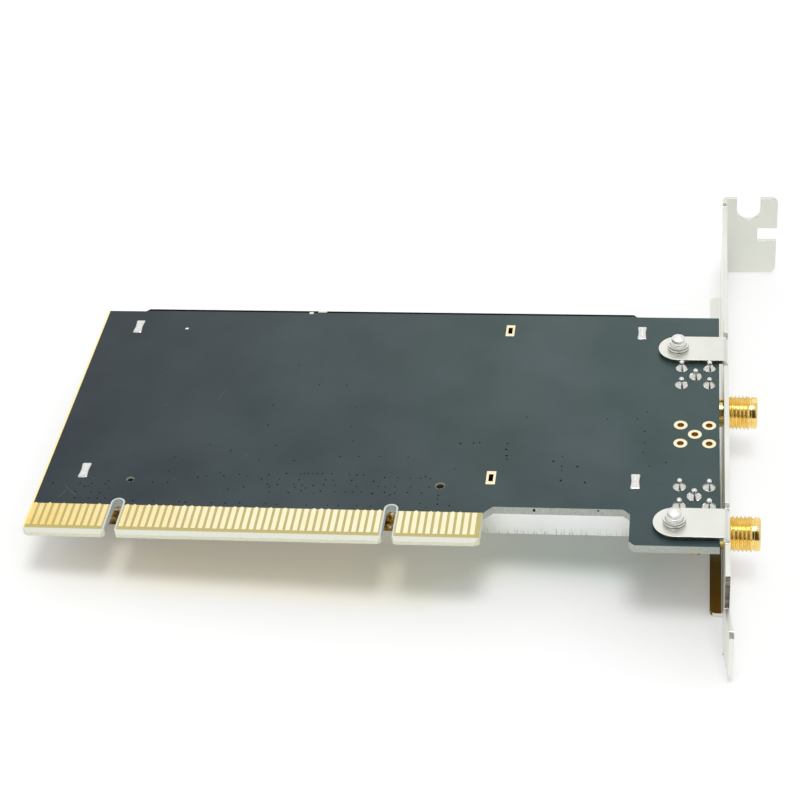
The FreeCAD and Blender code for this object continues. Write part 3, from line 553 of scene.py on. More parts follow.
STUB_PROUD = 0.12
FLAKES = ((-23.35, -22.55, 64.15, 64.85), (-21.65, -19.95, 64.72, 65.10))
GAP_WALL = 8.85
CUT_COPPER = ((24.4, 24.85, -0.15, 0.5), (35.5, 35.8, 0.2, 0.55))
far_edge = board_high[1] / MM
face = board_high[2] / MM
shape = bmesh.new()
for left, right, near, far in FLAKES:
    block(shape, (left, near, face - 0.2), (right, far, face + 0.03), 0.015)
    stub_low = (left + 0.1, far_edge - 0.2, 0.1 - face)
    block(shape, stub_low, (right - 0.1, far_edge + STUB_PROUD, face - 0.05), 0.08)
for left, right, low_z, high_z in CUT_COPPER:
    mark_low = (left, GAP_WALL - 0.012, low_z)
    for item in block(shape, mark_low, (right, GAP_WALL + 0.1, high_z), 0.02):
        item.material_index = 1
finish_piece("break_off_marks", shape, [torn_edge, via_shade_and_cut_ends])

# %% [markdown]
# ## Hairline scratches
# Handling leaves a few hairlines in the lacquer. Each is a low ridge under a tenth of a
# millimetre wide with a dull, lighter surface. A scratched texture could do the same from far
# away, but a ridge also breaks the gloss when the card is turned.

# %% Hairline scratches
scuffed = Finish("scuffed_lacquer", rough=0.55)
scuffed.flecked(scuffed.noise(0.3), (0.04, 0.05, 0.055), (0.10, 0.115, 0.12))
SCRATCHES = (
    (-36.12, 36.99, -35.06, 40.32), (-58.9, 12.0, -57.6, 10.7), (-57.6, 10.7, -56.4, 9.6),
    (-58.4, 10.8, -59.2, 8.7),
)
SCRATCH_HALF = 0.04 * MM
SCRATCH_RIDGE = Vector((0, 0, 0.012)) * MM
shape = bmesh.new()
for x1, y1, x2, y2 in SCRATCHES:
    start = Vector((x1, y1, face)) * MM
    end = Vector((x2, y2, face)) * MM
    side = (end - start).normalized().cross(Vector((0, 0, 1))) * SCRATCH_HALF
    skin(shape, [[spot - side, spot + side, spot + SCRATCH_RIDGE] for spot in (start, end)])
finish_piece("hairline_scratches", shape, [scuffed])

# %% [markdown]
# ## Folded sheet
# Punched and folded steel never has a perfectly sharp edge: the thin rounded rim is what draws
# a bright line round the bracket and the shield. The frame's own mesh is welded, its flat
# triangles are dissolved, and every sharp edge gets a bevel of a few hundredths of a
# millimetre. The copy then stands for the plain node.


# %% Folded sheet
WELD = 0.001 * MM
FLAT_ANGLE = math.radians(0.4)
SHARP_ANGLE = math.radians(38)


def rounded_arc(shape, centre, radius, level, cuts=5):
    """More points on a coarse arc in the XZ plane, beyond a level in Y, all on the true circle."""
    centre = Vector((centre[0], 0.0, centre[1])) * MM

    def spoke(vert):
        return Vector((vert.co.x - centre.x, 0.0, vert.co.z - centre.z))

    def on_arc(vert):
        return abs(spoke(vert).length / MM - radius) < 0.02 and vert.co.y > level * MM

    arc = {vert for vert in shape.verts if on_arc(vert)}
    chords = []
    for item in shape.edges:
        first, second = item.verts
        if first in arc and second in arc and abs(first.co.y - second.co.y) < 0.01 * MM:
            chords.append(item)
    made = bmesh.ops.subdivide_edges(shape, edges=chords, cuts=cuts, use_grid_fill=True)
    for vert in made["geom_inner"]:
        if isinstance(vert, bmesh.types.BMVert):
            out = spoke(vert).normalized() * radius * MM
            vert.co = Vector((centre.x + out.x, vert.co.y, centre.z + out.z))
    print("arc of", len(chords), "chords made round")


def softened(node, width, segments=2, arcs=()):
    """A copy of a node's mesh with its sharp edges rounded."""
    shape = bmesh.new()
    shape.from_mesh(nodes[node].data)
    bmesh.ops.remove_doubles(shape, verts=shape.verts, dist=WELD)
    bmesh.ops.dissolve_limit(
        shape, angle_limit=FLAT_ANGLE, verts=shape.verts, edges=shape.edges,
        use_dissolve_boundaries=False,
    )
    for arc in arcs:
        rounded_arc(shape, *arc)
    shape.normal_update()
    folds = [item for item in shape.edges if item.is_manifold]
    sharp = [item for item in folds if item.calc_face_angle() > SHARP_ANGLE]
    bmesh.ops.bevel(
        shape, geom=sharp, offset=width * MM, segments=segments, profile=0.5,
        affect="EDGES", clamp_overlap=True,
    )
    return shape


# %% [markdown]
# ## Bracket nickel
# The bracket is plated with dull nickel, with fine lines from the rolling of the sheet. The tab is
# painted darker than the lugs, as painted shade. The sheared edges of the lugs and of the tongue's
# shoulder are torn, and they are painted dark with painted shade and a painted reflection of the
# black board. The near end of the lower lip is painted brown, a painted reflection of the board's
# underside in its shade, and rings of painted shade darken the drawn collars. Each place could have
# a material of its own, but then every face would need sorting; here the coordinates and the facing
# of the surface pick the place.

# %% Bracket nickel
LUG_END = 56.9 * MM
LUG_LEVEL = 0.5 * MM
LUG_TOP = 1.66 * MM
COLLAR_SHADE_PITCH = 0.66 * MM
LIP_LEVEL = -14.5 * MM
LIP_SHADE_FULL = 14.0 * MM
LIP_SHADE_GONE = 34.0 * MM
SHOULDER = -7.0 * MM
TONGUE_START = -9.0 * MM
TAB_SHADE_START = 100.0 * MM
TAB_SHADE_END = 104.0 * MM
SIDE_FACE = 0.8
WALL_FACE = 0.5
nickel = Finish("bracket_nickel", metal=1.0)
grain = nickel.noise(0.12, 3.0, (1.0, 0.05, 1.0))
cloudy = nickel.noise(9.0, 3.0)
x, y, z = nickel.axes()
facing = nickel.facing()
cut_side = nickel.above(nickel.sums("ABSOLUTE", facing["Y"]), SIDE_FACE)
wall = nickel.below(nickel.sums("ABSOLUTE", facing["Z"]), WALL_FACE)
# One nickel in a lit and a shaded copy; the tab takes the shaded copy, as painted shade.
bright = nickel.blend(nickel.spread(cloudy), (0.785, 0.80, 0.74), (0.87, 0.88, 0.82))
dull = nickel.blend(nickel.spread(cloudy), (0.73, 0.75, 0.68), (0.81, 0.82, 0.75))
plate = nickel.blend(nickel.span(y, TAB_SHADE_START, TAB_SHADE_END), bright, dull)
# The near end of the lower lip is painted brown: a painted reflection of the board's underside, and
# painted shade.
lip_shade = nickel.times(
    nickel.below(z, LIP_LEVEL), nickel.below(x, LUG_END),
    nickel.span(y, LIP_SHADE_FULL, LIP_SHADE_GONE, 1.0, 0.0), nickel.sums("SUBTRACT", 1.0, cut_side),
)
lip_shade_colour = nickel.blend(cloudy, (0.18, 0.11, 0.018), (0.29, 0.19, 0.05))
plate = nickel.blend(lip_shade, plate, lip_shade_colour)
# The dark rings on the collar walls are painted shade.
collar_shade_rings = nickel.wave(nickel.sums("SUBTRACT", z, LUG_TOP), COLLAR_SHADE_PITCH)
collar_shade_rings = nickel.times(
    nickel.span(collar_shade_rings, 0.15, 0.6), nickel.above(z, LUG_TOP),
    nickel.span(wall, 0.0, 1.0, 0.15, 0.92),
)
plate = nickel.blend(collar_shade_rings, plate, (0.13, 0.11, 0.09))
# Sheared edges are painted dark: torn metal streaks, with painted shade and a painted reflection of
# the black board.
lug_edge_shade = nickel.times(
    wall, nickel.below(x, LUG_END), nickel.above(z, LUG_LEVEL), nickel.below(z, LUG_TOP),
)
shoulder_edge_shade = nickel.times(cut_side, nickel.below(y, SHOULDER), nickel.above(y, TONGUE_START))
streaks = nickel.span(nickel.noise(0.5, 2.0, (0.3, 1.0, 1.6)), 0.35, 0.65)
sheared_and_shaded = nickel.blend(streaks, (0.09, 0.075, 0.06), (0.30, 0.27, 0.23))
nickel.flecked(nickel.most(shoulder_edge_shade, lug_edge_shade), plate, sheared_and_shaded)
rough = nickel.sums("ADD", nickel.times(grain, 0.6), nickel.times(cloudy, 0.4))
nickel.feed("Roughness", nickel.spread(rough, 0.30, 0.40))
nickel.relief(grain, 0.002)
print("nickel wired with", len(nickel.tree.nodes), "nodes")

# %% Bracket
SCREW_SLOT = ((62.55, -1.155), 2.4, 100.0)
sheet = softened("bracket", 0.09, arcs=[SCREW_SLOT])
finish_piece("folded_bracket", sheet, [nickel], ["bracket"], steady=True)

# %% [markdown]
# ## Threads
# A thread is a radius that rises and falls once a turn along the axis. The helper gives the
# radius for a point along the axis as a function of the angle, so the same lathe makes a
# screw. A rolled thread has rounded crests and roots, so a cosine is close to the real form.


# %% Threads
def thread_radius(along, pitch, crest, root, fade=1.0):
    """Radius of a helical thread at one point along the axis."""
    def radius(angle):
        turn = (along / pitch - angle / (2 * math.pi)) % 1.0
        depth = 0.5 + 0.5 * math.cos(2 * math.pi * turn)
        return crest - (crest - root) * depth * fade
    return radius


def threaded(start, end, pitch, crest, root, samples=12):
    """Profile steps of a thread whose ends fade into the plain crest."""
    count = int((end - start) / pitch * samples)
    steps = []
    for number in range(count + 1):
        along = start + (end - start) * number / count
        fade = min(1.0, (along - start) / (0.5 * pitch), (end - along) / (0.4 * pitch))
        steps.append((along, thread_radius(along, pitch, crest, root, fade)))
    return steps


# %% [markdown]
# ## Bracket screws
# Two small machine screws hold the lugs. Their heads sit on the component side, and their
# turned tips stand out of the collars that are drawn up from the lugs. A pan head with a
# cross recess is a turned form with two crossed slots cut out of it.

# %% Bracket screws
steel = Finish("screw_nickel", metal=1.0)
turning = steel.noise(0.1, 2.0, (0.2, 0.2, 2.5))
steel.flecked(turning, (0.84, 0.84, 0.81), (0.95, 0.95, 0.92))
steel.feed("Roughness", steel.spread(turning, 0.36, 0.48))
steel.relief(turning, 0.002)

SCREW_PITCH = 0.5
SCREW_CREST = 1.5
SCREW_ROOT = 1.23
ARM = 1.6
HALF = 0.45
RECESS = (
    (-ARM, -HALF), (-HALF, -HALF), (-HALF, -ARM), (HALF, -ARM), (HALF, -HALF), (ARM, -HALF),
    (ARM, HALF), (HALF, HALF), (HALF, ARM), (-HALF, ARM), (-HALF, HALF), (-ARM, HALF),
)
RECESS_DEPTH = 1.0


def carve(piece, cutter):
    """Cuts one mesh out of another for good and removes the cutter."""
    cutting = piece.modifiers.new("cut", "BOOLEAN")
    cutting.object = cutter
    cutting.solver = "MANIFOLD"
    bpy.context.view_layer.update()
    view = bpy.context.evaluated_depsgraph_get()
    result = bpy.data.meshes.new_from_object(piece.evaluated_get(view))
    piece.modifiers.clear()
    piece.data = result
    bpy.data.objects.remove(cutter)


for name in TWO:
    node = name + "_bracket_screw"
    low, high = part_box(node)
    middle = ((low[0] + high[0]) / 2, (low[1] + high[1]) / 2, 0.0)
    head_top = low[2] / MM
    head_seat = board_low[2] / MM
    tip = high[2] / MM
    head = (high[0] - low[0]) / MM / 2
    profile = [
        (head_top, head * 0.45), (head_top + 0.12, head * 0.66), (head_top + 0.45, head * 0.86),
        (head_top + 0.95, head * 0.985), (head_top + 1.2, head), (head_seat - 0.08, head),
        (head_seat, head - 0.08), (head_seat, SCREW_CREST),
    ]
    profile += threaded(
        head_seat + 0.05, tip - 1.16, SCREW_PITCH, SCREW_CREST, SCREW_ROOT,
    )
    profile += [
        (tip - 1.14, 1.34), (tip - 1.04, 1.27), (tip - 0.58, 1.26), (tip - 0.48, 1.23),
        (tip - 0.40, 1.14), (tip - 0.24, 0.80), (tip - 0.10, 0.45), (tip, 0.1),
    ]
    shape = bmesh.new()
    turned(shape, profile, middle, steps=56)
    screw = finish_piece(name + "_screw", shape, [steel], [node], 28)
    cross = bmesh.new()
    rings = []
    for level, share in ((head_top - 0.1, 1.0), (head_top + RECESS_DEPTH, 0.55)):
        ring = []
        for px, py in RECESS:
            spot = (middle[0] / MM + px * share, middle[1] / MM + py * share, level)
            ring.append(Vector(spot) * MM)
        rings.append(ring)
    skin(cross, rings)
    bmesh.ops.recalc_face_normals(cross, faces=cross.faces)
    cross_mesh = bpy.data.meshes.new("cross")
    cross.to_mesh(cross_mesh)
    cross.free()
    cutter = bpy.data.objects.new("cross", cross_mesh)
    bpy.context.scene.collection.objects.link(cutter)
    carve(screw, cutter)

# %% [markdown]
# ## Antenna jacks
# Each jack is a gold plated brass block with four legs through the board and a threaded neck
# through the bracket, open at its mouth, where a white insulator holds the centre contact.
# The thread has thirty-six turns to the inch; its dark valleys are what the eye reads first,
# so it is cut as a true helix.

# %% Antenna jacks
jack_gold = Finish("jack_gold", metal=1.0)
plated = jack_gold.noise(1.4, 3.0)
polish = jack_gold.noise(0.15, 2.0)
jack_gold.flecked(jack_gold.spread(plated), (0.90, 0.62, 0.17), (1.0, 0.79, 0.35))
jack_gold.feed("Roughness", jack_gold.spread(polish, 0.10, 0.20))
jack_gold.relief(polish, 0.002)

INCH = 25.4
JACK_PITCH = INCH / 36
JACK_CREST = INCH / 8
JACK_ROOT = 2.82
LEG_HALF = 2.54 * MM
LEGS = ((-1, -1), (-1, 1), (1, -1), (1, 1))
BOSS_BELOW_AXIS = 2.95
BLOCK_BELOW_AXIS = 1.3
BOSS_RADIUS = 2.7

for name in TWO:
    node = name + "_jack_body"
    low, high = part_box(node)
    centre_y = (low[1] + high[1]) / 2
    axis = low[2] + JACK_CREST * MM
    block_side = (high[1] - low[1]) / MM
    left = low[0] / MM
    shape = bmesh.new()
    block(
        shape, (left, low[1] / MM, axis / MM - BLOCK_BELOW_AXIS),
        (left + block_side, high[1] / MM, board_low[2] / MM), 0.3, 3,
    )
    middle_x = left + block_side / 2
    boss = [
        (-BOSS_BELOW_AXIS, BOSS_RADIUS - 0.4), (-BOSS_BELOW_AXIS, BOSS_RADIUS - 0.15),
        (-BOSS_BELOW_AXIS + 0.05, BOSS_RADIUS - 0.05), (-BOSS_BELOW_AXIS + 0.15, BOSS_RADIUS),
        (0.0, BOSS_RADIUS),
    ]
    turned(shape, boss, (middle_x * MM, centre_y, axis), steps=64)
    reach = high[0] / MM - middle_x
    neck = [(0.0, 2.7), (6.1, 2.7), (6.15, 2.9)]
    neck += threaded(6.2, 10.1, JACK_PITCH, JACK_CREST, JACK_ROOT)
    neck += [
        (10.12, 2.75), (10.44, 2.75), (10.46, 2.92), (10.52, 2.975), (reach - 0.16, 2.975),
        (reach - 0.05, 2.92), (reach, 2.82), (reach, 2.46), (reach - 0.04, 2.38),
        (reach - 0.14, 2.31), (reach - 3.6, 2.3), (reach - 3.6, 2.06), (0.0, 2.06),
    ]
    turned(shape, neck, (middle_x * MM, centre_y, axis), "X", 72, True)
    leg_root = board_low[2] / MM - 0.3
    leg_top = high[2] / MM
    leg = [(leg_root, 0.5), (leg_top - 0.3, 0.5), (leg_top - 0.1, 0.42), (leg_top, 0.2)]
    for side, end in LEGS:
        foot = (middle_x * MM + side * LEG_HALF, centre_y + end * LEG_HALF, 0.0)
        turned(shape, leg, foot, steps=20)
    finish_piece(name + "_jack", shape, [jack_gold], [node], 30)
paint(jack_gold, "lower_jack_cap", "upper_jack_cap")

# %% [markdown]
# ## Centre contacts
# The contact in the middle of a jack is one gold plated rod, bent down the axis of the jack and
# up through the board. Two turned rods that meet at the bend are enough, because the block
# hides the bend itself.

# %% Centre contacts
POST_RADIUS = 0.40
POST_TOP = 1.5
for name in TWO:
    node = name + "_jack_contact"
    low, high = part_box(node)
    pin = (high[1] - low[1]) / 2 / MM
    centre_y = (low[1] + high[1]) / 2
    axis = low[2] + pin * MM
    bend_x = low[0] + pin * MM
    run = (high[0] - bend_x) / MM
    shape = bmesh.new()
    rod = [
        (-pin, pin * 0.8), (-pin + 0.1, pin), (run - 1.9, pin), (run - 1.75, 0.47),
        (run - 0.35, 0.45), (run - 0.12, 0.36), (run - 0.02, 0.2), (run, 0.06),
    ]
    turned(shape, rod, (bend_x, centre_y, axis), "X", 32)
    rise = POST_TOP - axis / MM
    post = [(0.0, POST_RADIUS), (rise, POST_RADIUS), (rise + 0.15, 0.25)]
    turned(shape, post, (bend_x, centre_y, axis), steps=24)
    finish_piece(name + "_centre_contact", shape, [jack_gold], [node])

# %% [markdown]
# ## Insulators
# A white plastic sleeve keeps the contact apart from the neck. It is turned from a dense, waxy
# plastic, so it only needs a soft gloss and a faint unevenness.

# %% Insulators
insulator = Finish("jack_insulator", rough=0.45)
insulator.flecked(insulator.noise(0.6), (0.80, 0.79, 0.75), (0.88, 0.87, 0.84))
insulator.relief(insulator.noise(0.08), 0.004)
paint(insulator, "lower_jack_insulator", "upper_jack_insulator")

# %% [markdown]
# ## Solder fillets
# Molten solder climbs each leg and freezes as a bright dome with a concave waist, and a ball
# of it stays on the tip. No two are alike, so the lathe profile of each gets its own small
# seeded changes, and the rings lean a little to one side.

# %% Solder fillets
solder = Finish("bright_solder", metal=1.0)
mottle = solder.noise(0.35, 4.0)
solder.flecked(solder.spread(mottle), (0.68, 0.69, 0.66), (0.88, 0.88, 0.85))
solder.feed("Roughness", solder.spread(mottle, 0.10, 0.22))
solder.relief(mottle, 0.007)


def uneven(radius, wave, phase):
    """A radius that bulges twice a turn."""
    return lambda angle: radius * (1.0 + wave * math.sin(2 * angle + phase))


FILLET = (
    (0.0, 1.26), (0.06, 1.26), (0.18, 1.19), (0.34, 1.05), (0.50, 0.89), (0.66, 0.76),
    (0.82, 0.65), (0.96, 0.57), (1.08, 0.52), (1.18, 0.50), (1.30, 0.505), (1.44, 0.49),
    (1.58, 0.43), (1.70, 0.28), (1.74, 0.10),
)
shape = bmesh.new()
for name in TWO:
    low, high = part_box(name + "_jack_body")
    middle_x = low[0] + (high[1] - low[1]) / 2
    middle_y = (low[1] + high[1]) / 2
    for side, end in ((0, 0),) + LEGS:
        spot = (middle_x + side * LEG_HALF, middle_y + end * LEG_HALF, board_high[2])
        grow = chance.uniform(0.94, 1.06)
        wave = chance.uniform(0.01, 0.05)
        phase = chance.uniform(0.0, 6.0)
        profile = []
        for along, radius in FILLET:
            height = along * chance.uniform(0.98, 1.02)
            profile.append((height, uneven(radius * grow, wave, phase)))
        turned(shape, profile, spot, steps=32)
finish_piece("jack_solder", shape, [solder], ["jack_solder_joints"], 60)

# %% [markdown]
# ## Shield tabs
# The shield's four tabs come up through slots and are soldered flush, which leaves small
# bright pillows. Each pillow is a dome over a rounded rectangle, pulled up where it meets the
# tab.

# %% Shield tabs
PILLOW = ((0.0, 1.0), (0.10, 1.0), (0.20, 0.90), (0.28, 0.72), (0.33, 0.45), (0.35, 0.15))
PILLOW_STEPS = 36
HALF_PILLOW = (1.02, 2.0)
PILLOW_SHIFT = -0.25 * MM
TAB_HALF = 1.7 * MM
TAB_WALL = 0.15 * MM
low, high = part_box("shield_tab_solder")
frame_low, frame_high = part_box("shield_frame")


def superellipse(angle, power=0.35):
    """A point on a rounded square that fits in two by two."""
    ways = (math.cos(angle), math.sin(angle))
    return [math.copysign(abs(way) ** power, way) for way in ways]


shape = bmesh.new()
for middle_x in (frame_low[0] + TAB_WALL, frame_high[0] - TAB_WALL):
    for middle_y in (low[1] + TAB_HALF + PILLOW_SHIFT, high[1] - TAB_HALF + PILLOW_SHIFT):
        lean = chance.uniform(-0.12, 0.12)
        rings = []
        for height, share in PILLOW:
            ring = []
            for step in range(PILLOW_STEPS):
                px, py = superellipse(2 * math.pi * step / PILLOW_STEPS)
                waist = 0.70 + 0.30 * py * py
                ring.append(Vector((
                    middle_x + (px * waist * share * HALF_PILLOW[0] + lean * height) * MM,
                    middle_y + py * (0.25 + 0.75 * share) * HALF_PILLOW[1] * MM,
                    board_high[2] + height * chance.uniform(0.94, 1.06) * MM,
                )))
            rings.append(ring)
        skin(shape, rings)
SPECK = [
    (0.0, uneven(0.34, 0.15, 1.0)), (0.05, uneven(0.30, 0.15, 1.0)), (0.10, 0.16), (0.11, 0.05),
]
turned(shape, SPECK, (-46.7 * MM, 58.9 * MM, board_high[2]), steps=20)
finish_piece("shield_tab_pillows", shape, [solder], ["shield_tab_solder"], 60)

# %% [markdown]
# ## Tinned shield
# The can over the circuits is thin tinned steel: a soldered frame and a lid whose folded walls
# close over it, with an open seam at each near corner. Tin is a bright white metal with faint
# rolling lines and soft blotches. Low on the near wall, behind the two key slots, brown patches are
# painted shade and a painted reflection of the shaded table, and the wall is darkened in fine
# vertical streaks towards its lower edge.

# %% Tinned shield
SLOT_SHADES = (-1.7 * MM, -51.5 * MM)
SLOT_SHADE_REACH = 1.9 * MM
SLOT_SHADE_LEVEL = -3.5 * MM
STREAK_LEVEL = -8.3 * MM
WALL_DEPTH = 0.3 * MM
lid_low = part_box("shield_lid")[0]
tin = Finish("shield_tin", metal=1.0)
rolled = tin.noise(0.25, 3.0, (0.04, 1.0, 1.0))
blotch = tin.noise(6.0, 3.0)
slot_shade_breakup = tin.noise(0.9, 3.0)
x, y, z = tin.axes()
near_wall = tin.below(y, lid_low[1] + WALL_DEPTH)
# Behind the two key slots, low on the near wall, the tin is painted brown: painted shade and a
# painted reflection of the shaded table.
behind = []
for middle in SLOT_SHADES:
    aside = tin.sums("ABSOLUTE", tin.sums("SUBTRACT", x, middle))
    behind.append(tin.below(aside, SLOT_SHADE_REACH))
slot_shade = tin.times(
    tin.most(*behind), near_wall, tin.below(z, SLOT_SHADE_LEVEL), tin.span(slot_shade_breakup, 0.33, 0.42),
)
slot_shade_colour = tin.blend(tin.span(slot_shade_breakup, 0.45, 0.65), (0.42, 0.25, 0.05), (0.05, 0.028, 0.008))
# Towards its lower edge the near wall is darkened in fine vertical streaks.
low_streaks = tin.times(
    tin.span(tin.noise(0.22, 2.0, (1.0, 1.0, 0.06)), 0.55, 0.68), near_wall,
    tin.span(z, STREAK_LEVEL, lid_low[2], 0.0, 0.7),
)
bright = tin.blend(tin.spread(blotch), (0.91, 0.915, 0.91), (0.965, 0.97, 0.965))
bright = tin.blend(low_streaks, bright, (0.22, 0.23, 0.22))
tin.flecked(slot_shade, bright, slot_shade_colour)
tin.feed("Roughness", tin.span(tin.sums("ADD", rolled, blotch), 0.7, 1.3, 0.13, 0.24))
tin.relief(rolled, 0.003)
SHEETS = (("soldered_frame", "shield_frame", 0.06), ("snap_lid", "shield_lid", 0.12))
for name, node, width in SHEETS:
    finish_piece(name, softened(node, width), [tin], [node], steady=True)

# %% [markdown]
# ## Small parts outside the shield
# Between the shield and the contacts sits a row of chip capacitors, and two more small parts
# feed each jack. Each is a fired ceramic block with tinned ends that wrap round it, so it is
# built from a rounded block and two slightly larger end caps.

# %% Small parts outside the shield
ceramic = Finish("capacitor_ceramic", rough=0.5)
fired = ceramic.noise(0.2, 3.0)
ceramic.flecked(fired, (0.36, 0.25, 0.14), (0.52, 0.38, 0.22))
ceramic.relief(fired, 0.006)
terminal = Finish("capacitor_ends", metal=1.0)
dull = terminal.noise(0.12, 3.0)
terminal.flecked(dull, (0.62, 0.62, 0.60), (0.78, 0.78, 0.76))
terminal.feed("Roughness", terminal.spread(dull, 0.3, 0.5))
CAP_SHARE = 0.24
CAP_PROUD = 0.02


def chip_part(shape, low, high, axis):
    """A ceramic block in the box of its solid, with tinned ends along an axis."""
    block(shape, [side + CAP_PROUD for side in low], [side - CAP_PROUD for side in high], 0.05)
    cap = (high[axis] - low[axis]) * CAP_SHARE
    cap_low, cap_high = list(low), list(high)
    cap_high[axis] = low[axis] + cap
    cap_low[axis] = high[axis] - cap
    for end_low, end_high in ((low, cap_high), (cap_low, high)):
        for item in block(shape, end_low, end_high, 0.06):
            item.material_index = 1


def solids_of(node):
    """Boxes of the separate solids in a node, in millimetres."""
    shape = bmesh.new()
    shape.from_mesh(nodes[node].data)
    bmesh.ops.remove_doubles(shape, verts=shape.verts, dist=WELD)
    boxes = []
    reached = set()
    for start in shape.verts:
        if start in reached:
            continue
        reached.add(start)
        island = [start]
        for vert in island:
            for item in vert.link_edges:
                other = item.other_vert(vert)
                if other not in reached:
                    reached.add(other)
                    island.append(other)
        columns = list(zip(*[vert.co / MM for vert in island]))
        boxes.append([[edge(column) for column in columns] for edge in (min, max)])
    shape.free()
    return boxes


for node, axis in (("bypass_capacitors", 1), ("antenna_feed_parts", 0)):
    shape = bmesh.new()
    for low, high in solids_of(node):
        chip_part(shape, low, high, axis)
    finish_piece("dressed_" + node, shape, [ceramic, terminal], [node])

# %% [markdown]
# ## Circuits inside the shield
# Nothing of these is seen while the lid is on, but each node still has its own finish: matt
# moulding compound, a welded can, dark ferrite and moulded capacitor cases.

# %% Circuits inside the shield
HIDDEN = (
    ("chip_epoxy", (0.012, 0.012, 0.013), (0.030, 0.030, 0.031), 0.0, 0.62,
     ("host_controller", "radio_chip", "setup_memory", "voltage_regulator")),
    ("crystal_can", (0.62, 0.61, 0.58), (0.80, 0.79, 0.76), 1.0, 0.3, ("reference_crystal",)),
    ("coil_ferrite", (0.05, 0.05, 0.055), (0.12, 0.12, 0.13), 0.0, 0.55, ("power_coil",)),
    ("tantalum_case", (0.62, 0.36, 0.05), (0.78, 0.50, 0.10), 0.0, 0.45, ("tank_capacitors",)),
)
for title, first, second, metal, roughness, names in HIDDEN:
    finish = Finish(title, metal=metal, rough=roughness)
    speckle = finish.noise(0.15, 4.0)
    finish.flecked(finish.spread(speckle), first, second)
    finish.relief(speckle, 0.01)
    paint(finish, *names)

# %% [markdown]
# ## Floor, light and camera
# The card leans: it rests on the near end of the shield's lid at one side and on the bracket's
# lower lip at the other, so the white table is a plane through those two edges. A pale sky with one
# dark side, where the viewer stands, and a brighter panel behind the card gives the metals
# something to reflect, and one soft lamp overhead adds the shade under the card. Under the card the
# paper is tinted warm at the left and green-grey at the right, a painted reflection of the gold
# contacts and the board above it, which shows in the shade. Right of the bracket the paper glows
# more, painted light that lifts the shadow of the jacks.

# %% Table
LIP_EDGE = 54.935 * MM
bracket_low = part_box("bracket")[0]
slope = (lid_low[2] - bracket_low[2]) / (LIP_EDGE - lid_low[0])
TABLE_SIZE = 6.0
bpy.ops.mesh.primitive_plane_add(size=TABLE_SIZE, location=(lid_low[0], 0.0, lid_low[2]))
table = bpy.context.object
table.name = "table"
table.rotation_euler = (0.0, math.atan(slope), 0.0)
PAPER_GLOW = 0.17
PAPER_GLOW_ASIDE = 0.70
GLOW_FADE = (56.0 * MM, 64.0 * MM)
WARM_TO_COOL = (-10.0 * MM, 30.0 * MM)
GAP_FADE = (5.0 * MM, 20.0 * MM)
GAP_STEP = 9.0 * MM
NEAR_FADE = (-4.0 * MM, 5.0 * MM)
FAR_FADE = (16.0 * MM, 28.0 * MM)
LEFT_FADE = (-62.0 * MM, -40.0 * MM)
RIGHT_FADE = (44.0 * MM, 58.0 * MM)
paper = Finish("white_paper", rough=0.8)
paper.feed("Specular IOR Level", 0.1)
x, y = paper.axes()[:2]
x = paper.sums("ADD", x, lid_low[0])
white = paper.blend(paper.noise(40.0), (0.94, 0.945, 0.94), (0.96, 0.965, 0.96))
# Under the card the paper is painted warm at the left and green-grey at the right: a painted
# reflection of the gold contacts and the board, seen in the shade.
warmth = paper.span(x, *WARM_TO_COOL)
painted_bounce_tint = paper.blend(warmth, (0.97, 0.89, 0.64), (0.65, 0.78, 0.67))
near = paper.sums("SUBTRACT", y, paper.span(x, *GAP_FADE, 0.0, GAP_STEP))
bounce_tint_share = paper.times(
    paper.span(near, *NEAR_FADE), paper.span(y, *FAR_FADE, 1.0, 0.0),
    paper.span(x, *LEFT_FADE), paper.span(x, *RIGHT_FADE, 1.0, 0.0),
)
paper.flecked(bounce_tint_share, white, painted_bounce_tint)
rays = paper.add("ShaderNodeLightPath").outputs
seen = paper.most(
    rays["Is Camera Ray"], rays["Is Glossy Ray"], rays["Is Transmission Ray"],
)
glow = paper.add("ShaderNodeEmission").outputs[0]
# Right of the bracket the paper glows more: painted light that lifts the jacks' shadow.
share = paper.times(seen, paper.span(x, *GLOW_FADE, PAPER_GLOW, PAPER_GLOW_ASIDE))
lit = paper.add("ShaderNodeMixShader", {0: share, 1: paper.shader.outputs[0], 2: glow})
paper.give(paper.tree.nodes["Material Output"].inputs["Surface"], lit.outputs[0])
table.data.materials.append(paper.material)
print("table leans by", round(math.degrees(math.atan(slope)), 2), "degrees")

# %% Sky
SKY_LEVEL = 0.82
VIEWER_SIDE = (0.984, 0.176, 0.0)
VIEWER_AHEAD = (0.176, -0.984, 0.0)
VIEWER_SHADE = (0.06, 0.05, 0.045)
PANEL = (-0.10, 0.78, 0.62)
PANEL_LEVEL = 1.22
world = bpy.data.worlds.new("pale_sky")
world.use_nodes = True
bpy.context.scene.world = world
sky = Wiring(world.node_tree)
where = sky.add("ShaderNodeTexCoord").outputs["Generated"]


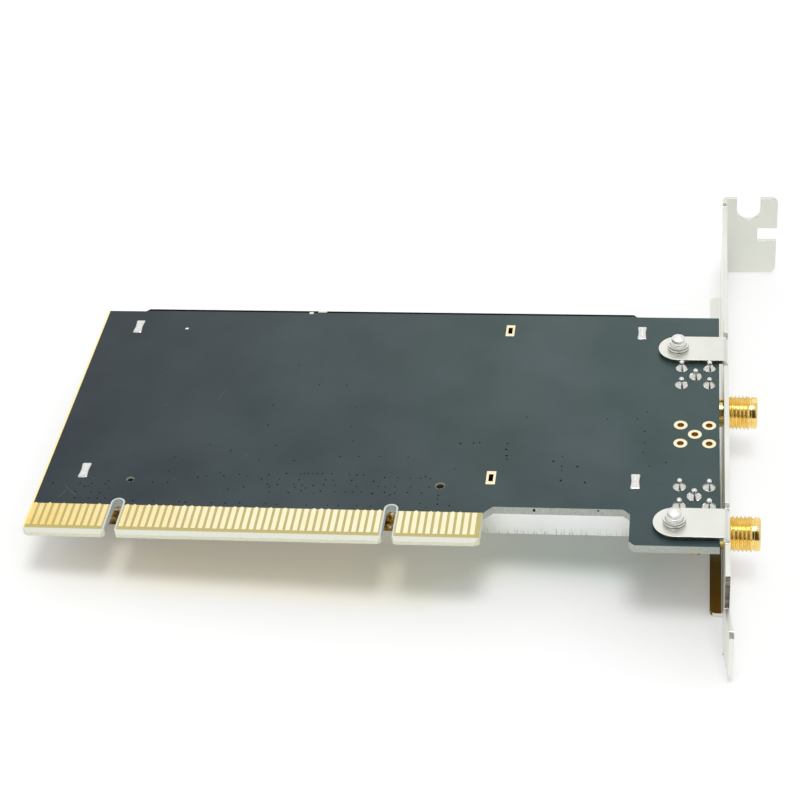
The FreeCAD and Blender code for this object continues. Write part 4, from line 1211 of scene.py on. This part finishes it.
def sky_share(direction, low, high, both_ways=False):
    """How far a direction of the sky lies along another, as a soft step."""
    dot = sky.add("ShaderNodeVectorMath", {0: where}, operation="DOT_PRODUCT")
    dot.inputs[1].default_value = direction
    value = dot.outputs["Value"]
    if both_ways:
        value = sky.sums("ABSOLUTE", value)
    return sky.span(value, low, high, curve="SMOOTHSTEP")


aside = sky_share(VIEWER_SIDE, 0.34, 0.18, both_ways=True)
viewer = sky.times(aside, sky_share(VIEWER_AHEAD, 0.42, 0.55))
panel = sky.blend(sky_share(PANEL, 0.72, 0.94), (1.0, 1.0, 1.0), (PANEL_LEVEL,) * 3)
background = world.node_tree.nodes["Background"]
background.inputs["Strength"].default_value = SKY_LEVEL
sky.give(background.inputs["Color"], sky.blend(viewer, panel, VIEWER_SHADE))
print("sky wired with", len(world.node_tree.nodes), "nodes")

# %% Lamp
LAMP_PLACE = Vector((0.06, -0.10, 0.90))
LAMP_AIM = Vector((0.0, 0.03, 0.0))
LAMP_SIZE = 0.30
LAMP_WATTS = 3.2
lamp = bpy.data.lights.new("top_lamp", "AREA")
lamp.size = LAMP_SIZE
lamp.energy = LAMP_WATTS
holder = bpy.data.objects.new("top_lamp", lamp)
holder.location = LAMP_PLACE
holder.rotation_euler = (LAMP_AIM - LAMP_PLACE).to_track_quat("-Z", "Y").to_euler()
bpy.context.scene.collection.objects.link(holder)
print("lamp of", LAMP_WATTS, "watts")

# %% Camera
SENSOR = 36.0
FOCAL_PIXELS = 1977.6
FRAME_PIXELS = 800
SIDE_SHIFT = -0.1039
EYE = (50.28 * MM, -243.86 * MM, 226.65 * MM)
EYE_TURN = (51.491, 2.903, 5.183)
lens = bpy.data.cameras.new("viewer")
lens.sensor_fit = "HORIZONTAL"
lens.sensor_width = SENSOR
lens.lens = SENSOR * FOCAL_PIXELS / FRAME_PIXELS
lens.clip_start = 0.01
lens.shift_x = SIDE_SHIFT
camera = bpy.data.objects.new("viewer", lens)
camera.location = EYE
camera.rotation_euler = [math.radians(turn) for turn in EYE_TURN]
bpy.context.scene.collection.objects.link(camera)
bpy.context.scene.camera = camera
bpy.context.scene.view_settings.view_transform = "Standard"
print("lens", round(lens.lens, 2), "mm")
